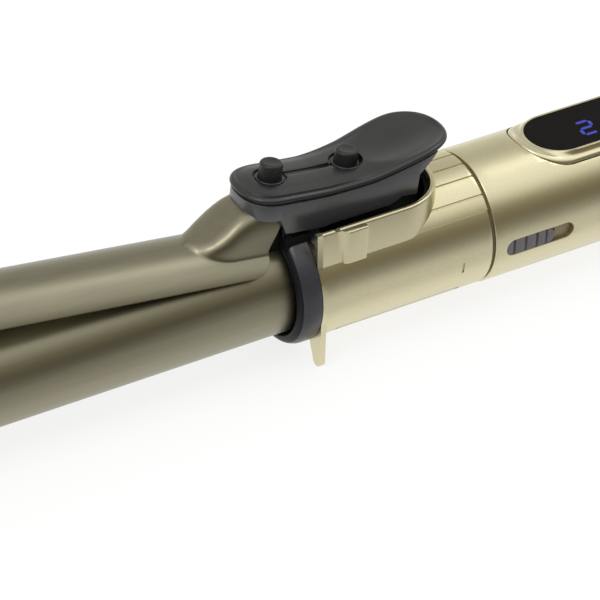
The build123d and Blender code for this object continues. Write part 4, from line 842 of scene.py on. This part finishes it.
def makeHandle():
    front, back, radius, wall = pick(handleSizes, "front back radius wall")
    stations = [handleSizes["firstStation"] + handleSizes["stationPitch"] * k for k in range(1, 51)] + [back]
    profile = [(front, radius - wall)] + roundedRim(front, radius, handleSizes["lip"], 5)
    profile += [(s, handleRadius(s)) for s in stations] + [(s, handleRadius(s) - wall) for s in reversed(stations)]
    display = walls([(insetStadium(bezelSizes), 5), (insetStadium(bezelSizes), 25)], 200)
    slot = sideways(insetStadium(slotSizes), slotSizes["floor"] - slotSizes["liner"], 22)
    mesh = cutAway(lathe(profile, 160), display, slot, stemRoom(), box(*handleSizes["coverRoom"]))
    softenEdges(mesh, handleSizes["displayEdge"], angle=40, where=lambda p: p.z > 9 and p.x > 58, merge=0.03)
    softenEdges(mesh, handleSizes["slotEdge"], angle=40, merge=0,
                where=lambda p: p.y < -15.5 and abs(p.z) < 5 and p.x < 70)
    finishPiece("handleShell", mesh, "goldShell", "handle", ["handle_shell"], crease=30)


def makeKnob():
    start, height, radius = slotSizes["front"] + slotSizes["gap"], slotSizes["height"], knobSizes["radius"]
    outline = stadium(start, start + knobSizes["length"], slotSizes["halfWidth"] - slotSizes["gap"])
    mesh = combine(sideways(outline, slotSizes["floor"] + knobSizes["low"], 16.3),
                   rod((40, 0, 0), (80, 0, 0), radius, 160), "INTERSECT")
    half = knobSizes["grooveWidth"] / 2
    for groove in knobSizes["grooves"]:
        mesh = cutAway(mesh, box((groove - half, -17, height - 3),
                                 (groove + half, -radius + knobSizes["grooveDepth"], height + 3)))
    softenEdges(mesh, knobSizes["edge"], angle=45)
    (near, far), half = knobSizes["stem"], knobSizes["stemHalf"]
    mesh = join(mesh, box((near, -15.2, height - half), (far, -12.5, height + half)))
    finishPiece("sliderKnob", mesh, "greyPlastic", "slider", ["slider_knob"])


def makeSeamShadeRing():
    # The bottom of the seam between collar and handle, painted dark brown as painted shade in the gap
    (front, back), (low, high) = seamSizes["stations"], seamSizes["radii"]
    mesh = lathe([(front, low), (front, high), (back, high), (back, low)], 128)
    finishPiece("seamShadeRing", mesh, "seamShade", "handle")


def makeSlotShadeLiner():
    # A floor and wall painted brown as painted shade in the slot where the slider can travel
    low = slotSizes["floor"]
    mesh = cutAway(sideways(insetStadium(slotSizes), low - slotSizes["liner"], slotSizes["linerTop"]),
                   sideways(insetStadium(slotSizes, slotSizes["gap"]), low + slotSizes["linerFloor"], 20), stemRoom())
    finishPiece("slotShadeLiner", mesh, "slotShade", "handle")


makeHandle()
makeSeamShadeRing()
makeKnob()
makeSlotShadeLiner()
print("handle and slider made")

# Display bezel, window, digits and panel buttons
windowSizes = {"front": 65.5, "back": 112.0, "halfWidth": 8.0, "corner": 7.6, "thickness": 1.4, "gap": 0.05,
               "soft": 0.3, "rise": 0.2}
buttonSizes = {"stations": (121.0, 132.0, 143.0), "radius": 3.5, "top": bezelSizes["plane"] + 0.6, "flange": 4.3,
               "flangeHeights": (12.4, 13.0), "dimple": 0.16, "gap": 0.08, "flangeGap": 0.3, "roomUnder": 1.7,
               "dome": ((0.45, 0.0), (0.2, 0.06), (0.05, 0.22), (0.0, 0.5), (0.12, 1.4))}
markSizes = {"sunk": (0.2, 0.1), "reach": 1.3, "half": 0.17}
digitSizes = {"front": 78.2, "top": 1.3, "width": 4.5, "height": 6.1, "pitch": 6.6, "stroke": 0.85, "slant": 0.10,
              "gap": 0.22, "thickness": 0.02, "text": "210"}
litSegments = {"0": "abcdef", "1": "bc", "2": "abged", "3": "abgcd", "4": "fgbc", "5": "afgcd", "6": "afgedc",
               "7": "abc", "8": "abcdefg", "9": "gfabcd"}


def windowOutline(gap=0.0):
    # Rounded rectangle in plan, as a function of the share of the way round
    front, back = windowSizes["front"] + gap, windowSizes["back"] - gap
    half, corner = windowSizes["halfWidth"] - gap, windowSizes["corner"] - gap
    centers = [(back - corner, half - corner, 0), (front + corner, half - corner, 90),
               (front + corner, corner - half, 180), (back - corner, corner - half, 270)]
    arc, long, short = corner * math.pi / 2, back - front - 2 * corner, 2 * (half - corner)
    total = 4 * arc + 2 * long + 2 * short

    def spot(share):
        way = share % 1 * total
        for (x, y, start), run, step in zip(centers, (long, short, long, short), ((-1, 0), (0, -1), (1, 0), (0, 1))):
            if way <= arc:
                a = math.radians(start) + way / corner
                return x + corner * math.cos(a), y + corner * math.sin(a)
            way -= arc
            if way <= run:
                a = math.radians(start + 90)
                return x + corner * math.cos(a) + step[0] * way, y + corner * math.sin(a) + step[1] * way
            way -= run
        return back, corner - half
    return spot


def handleTop(x, y):
    # The handle's surface over a point of the plan
    return math.sqrt(handleRadius(x) ** 2 - y ** 2)


def bezelRing(outline, height):
    def section(share):
        x, y = outline(share)
        return (x, y, height(x, y))
    return section


def makeBezel():
    gap, plane, bottom, front, back, half = pick(bezelSizes, "gap plane bottom lipFront lipBack lipHalfWidth")
    outer, under = insetStadium(bezelSizes, gap), insetStadium(bezelSizes, gap + bezelSizes["undercut"])
    inner, lip = stadium(front, back, half), stadium(front + 0.28, back - 0.3, half - 0.28)

    def skin(blend, sink):
        # From the handle's surface at the seam to the flat plane at the lip
        def section(share):
            (outX, outY), (inX, inY) = outer(share), inner(share)
            seam = handleTop(outX, outY)
            return (outX + (inX - outX) * blend, outY + (inY - outY) * blend, seam + (plane - seam) * blend - sink)
        return section

    sections = [bezelRing(under, lambda x, y: bottom), bezelRing(under, lambda x, y: handleTop(x, y) - 0.6)]
    sections += [skin(blend, sink) for blend, sink in bezelSizes["skin"]]
    sections += [bezelRing(lip, lambda x, y: plane)]
    recess = walls([(windowOutline(), plane - windowSizes["thickness"]), (windowOutline(), 20)])
    mesh = cutAway(loft(sections, 240), recess)
    for station in buttonSizes["stations"]:
        mesh = cutAway(mesh, post(station, 5, 20, buttonSizes["radius"] + buttonSizes["gap"]),
                       post(station, 5, plane - buttonSizes["roomUnder"],
                            buttonSizes["flange"] + buttonSizes["flangeGap"]))
    mesh = cutAway(mesh, box(*bezelSizes["room"]))
    finishPiece("displayBezel", mesh, "goldBezel", "handle", ["display_bezel"], crease=40)


def makeWindow():
    edge, soft, plane = windowOutline(windowSizes["gap"]), windowOutline(windowSizes["soft"]), bezelSizes["plane"]
    mesh = walls([(edge, plane - windowSizes["thickness"]), (edge, plane - windowSizes["rise"]), (soft, plane)], 200)
    finishPiece("displayWindow", mesh, "windowGloss", "handle", ["display_window"], crease=20)


def makeDigits():
    front, top, width, height, pitch = pick(digitSizes, "front top width height pitch")
    stroke, slant, gap, thick = pick(digitSizes, "stroke slant gap thickness")
    half, across, squeeze = height / 2, width - stroke, 1 - stroke / height
    segments = {"a": ((0, half), (1, half)), "b": ((1, half), (1, 0)), "c": ((1, 0), (1, -half)),
                "d": ((0, -half), (1, -half)), "e": ((0, 0), (0, -half)), "f": ((0, half), (0, 0)),
                "g": ((0, 0), (1, 0))}
    mesh = bmesh.new()
    for place, letter in enumerate(digitSizes["text"]):
        for name in litSegments[letter]:
            (ax, ay), (bx, by) = segments[name]
            start, end = Vector((ax * across, ay * squeeze)), Vector((bx * across, by * squeeze))
            along = (end - start).normalized()
            beside = Vector((-along.y, along.x)) * stroke / 2
            start, end = start + along * stroke * gap, end - along * stroke * gap
            outline = [start, start + along * stroke / 2 + beside, end - along * stroke / 2 + beside, end,
                       end - along * stroke / 2 - beside, start + along * stroke / 2 - beside]
            addSlab(mesh, [(front + stroke / 2 + place * pitch + p.x + slant * p.y, top - half + p.y,
                            bezelSizes["plane"]) for p in outline], (0, 0, thick))
    finishPiece("displayDigits", mesh, "blueDigits", "handle")


def makePanelButtons():
    reach, half, (sunk, shallow) = pick(markSizes, "reach half sunk")
    low, high = buttonSizes["top"] - sunk, buttonSizes["top"] - shallow
    for station, body in zip(buttonSizes["stations"], ("plus", "minus", "power")):
        finishPiece(body + "Button", domedButton(station, buttonSizes), "greyPlastic", body, [body + "_button"])
        if body == "power":
            mark = lathe([(low, 1.0), (low, reach), (high, reach), (high, 1.0)], 40, axis=(0, 0, 1),
                         center=(station, 0, 0))
            mark = cutAway(mark, box((station - 0.5, 0, low - 1), (station + 0.5, 3, high + 1)))
            mark = join(mark, box((station - 0.15, 0.3, low), (station + 0.15, 1.7, high)))
        else:
            mark = box((station - reach, -half, low), (station + reach, half, high))
            if body == "plus":
                mark = join(mark, box((station - half, -reach, low), (station + half, reach, high)))
        finishPiece(body + "Mark", mark, "goldPlate", body)


makeBezel()
makeWindow()
makeDigits()
makePanelButtons()
print("display made")

# Camera at the photograph's viewing angle, with the picture's middle aimed beside the hinge
cameraSizes = {"azimuth": -30.01, "elevation": 35.11, "distance": 0.68635, "lens": 180.0, "sensor": 36.0,
               "right": 12.28, "down": 28.07, "pixels": 3000.0}


def makeCamera():
    a, e = (math.radians(angle) for angle in pick(cameraSizes, "azimuth elevation"))
    ahead = Vector((-math.sin(a) * math.cos(e), math.cos(a) * math.cos(e), -math.sin(e)))
    right = Vector((math.cos(a), math.sin(a), 0))
    up = right.cross(ahead)
    distance = cameraSizes["distance"]
    scale = distance / cameraSizes["pixels"]
    spot = (shut @ Vector((0, 0, 0)) - ahead * distance + right * cameraSizes["right"] * scale
            - up * (cameraSizes["down"] * scale))
    data = bpy.data.cameras.new("photoCamera")
    data.lens, data.sensor_width = pick(cameraSizes, "lens sensor")
    data.clip_start, data.clip_end = 0.01, 20
    camera = linkObject("photoCamera", data)
    camera.matrix_world = Matrix.Translation(spot) @ Matrix((right, up, -ahead)).transposed().to_4x4()
    bpy.context.scene.camera = camera


# Studio: a white floor and a soft wrap of light, bright overhead and dim at eye level, for the metal to show
studio = {"floorSize": 6.0, "floorColour": 0.22, "floorGlow": 0.79, "fadeLength": 0.2, "worldStrength": 1.4,
          "fill": 1.0, "lampAngle": 15.0, "lamps": (((0.66, 0.1, 0.76), 0.15), ((-0.46, -0.26, 0.85), 0.3))}
# How bright the metal sees the floor: share of the fade's length towards the camera, and level
floorFade = [(0.0, 1.0), (0.085, 1.0), (0.115, 0.85), (0.15, 0.6), (0.25, 0.6), (0.34, 0.46), (0.45, 0.24),
             (0.6, 0.08), (1.0, 0.0)]
# Light round the barrel's axis: degrees from the near horizon over the top to the far one, and level
wrap = [(0, (0.165, 0.14, 0.09)), (20, (0.19, 0.165, 0.11)), (34, (0.32, 0.29, 0.22)), (47, (0.92, 0.91, 0.87)),
        (60, (1.15, 1.15, 1.13)), (86, (1.14, 1.14, 1.12)), (100, (0.97, 0.97, 0.95)), (114, (0.7, 0.7, 0.66)),
        (130, (0.55, 0.54, 0.5)), (150, (0.64, 0.63, 0.59)), (171, (0.8, 0.8, 0.76)), (180, (0.85, 0.85, 0.8))]


def mathNode(tree, operation, first, second, clamp=False):
    node = addNode(tree, "Math", {0: first, 1: second})
    node.operation, node.use_clamp = operation, clamp
    return node.outputs[0]


def mixNode(tree, factor, first, second, blend="MIX"):
    node = tree.nodes.new("ShaderNodeMix")
    node.data_type, node.blend_type = "RGBA", blend
    fillInputs(tree, node, {"Factor": factor, "A": first, "B": second})
    return node.outputs["Result"]


def makeFloor():
    mesh = bmesh.new()
    bmesh.ops.create_grid(mesh, x_segments=8, y_segments=8, size=studio["floorSize"] / 2)
    floor = meshObject("studioFloor", mesh)
    look = bpy.data.materials.new("studioFloor")
    look.use_nodes = True
    tree = look.node_tree
    shader = tree.nodes["Principled BSDF"]
    fillInputs(tree, shader, {"Base Color": (studio["floorColour"],) * 3 + (1,), "Roughness": 0.9,
                              "Specular IOR Level": 0.1})
    # The metal sees the floor fall off towards the camera, as on a lit table top
    place = addNode(tree, "TexCoord")
    split = addNode(tree, "SeparateXYZ", {0: place.outputs["Object"]})
    ahead = mathNode(tree, "MULTIPLY", split.outputs["Y"], -1 / studio["fadeLength"], clamp=True)
    fade = addNode(tree, "ValToRGB", {"Fac": ahead})
    setStops(fade.color_ramp, [(share, (level,) * 3) for share, level in floorFade])
    path = addNode(tree, "LightPath").outputs
    mirrored = mathNode(tree, "MULTIPLY", path["Is Glossy Ray"], fade.outputs["Color"])
    seen = mathNode(tree, "ADD", path["Is Camera Ray"], path["Is Transmission Ray"], clamp=True)
    strength = mathNode(tree, "MULTIPLY", mathNode(tree, "ADD", seen, mirrored, clamp=True), studio["floorGlow"])
    glow = addNode(tree, "Emission", {"Strength": strength})
    both = addNode(tree, "AddShader", {0: shader.outputs[0], 1: glow.outputs[0]})
    fillInputs(tree, tree.nodes["Material Output"], {"Surface": both.outputs[0]})
    floor.data.materials.append(look)


def makeWorld():
    world = bpy.data.worlds.new("studioWorld")
    bpy.context.scene.world = world
    world.use_nodes = True
    tree = world.node_tree
    strength = studio["worldStrength"]
    place = addNode(tree, "TexCoord")
    split = addNode(tree, "SeparateXYZ", {0: place.outputs["Generated"]}).outputs
    turn = mathNode(tree, "ARCTAN2", split["Z"], mathNode(tree, "MULTIPLY", split["Y"], -1.0))
    ramp = addNode(tree, "ValToRGB", {"Fac": mathNode(tree, "DIVIDE", turn, math.pi, clamp=True)})
    setStops(ramp.color_ramp, [(degrees / 180, [v / strength for v in level]) for degrees, level in wrap])
    path = addNode(tree, "LightPath").outputs
    # Rough surfaces are lit plainly from every side, so that no side of the object falls dark
    plain = mixNode(tree, path["Is Diffuse Ray"], ramp.outputs["Color"], (*[studio["fill"] / strength] * 3, 1),
                    blend="LIGHTEN")
    lit = mixNode(tree, path["Is Camera Ray"], plain, (*[1 / strength] * 3, 1))
    fillInputs(tree, tree.nodes["Background"], {"Color": lit, "Strength": strength})


def makeLamps():
    for number, (source, strength) in enumerate(studio["lamps"]):
        data = bpy.data.lights.new("topLight" + str(number), "SUN")
        data.energy, data.angle = strength, math.radians(studio["lampAngle"])
        lamp = linkObject(data.name, data)
        lamp.matrix_world = (-Vector(source)).to_track_quat("-Z", "Y").to_matrix().to_4x4()


makeCamera()
makeFloor()
makeWorld()
makeLamps()
scene = bpy.context.scene
scene.view_settings.view_transform = "Standard"
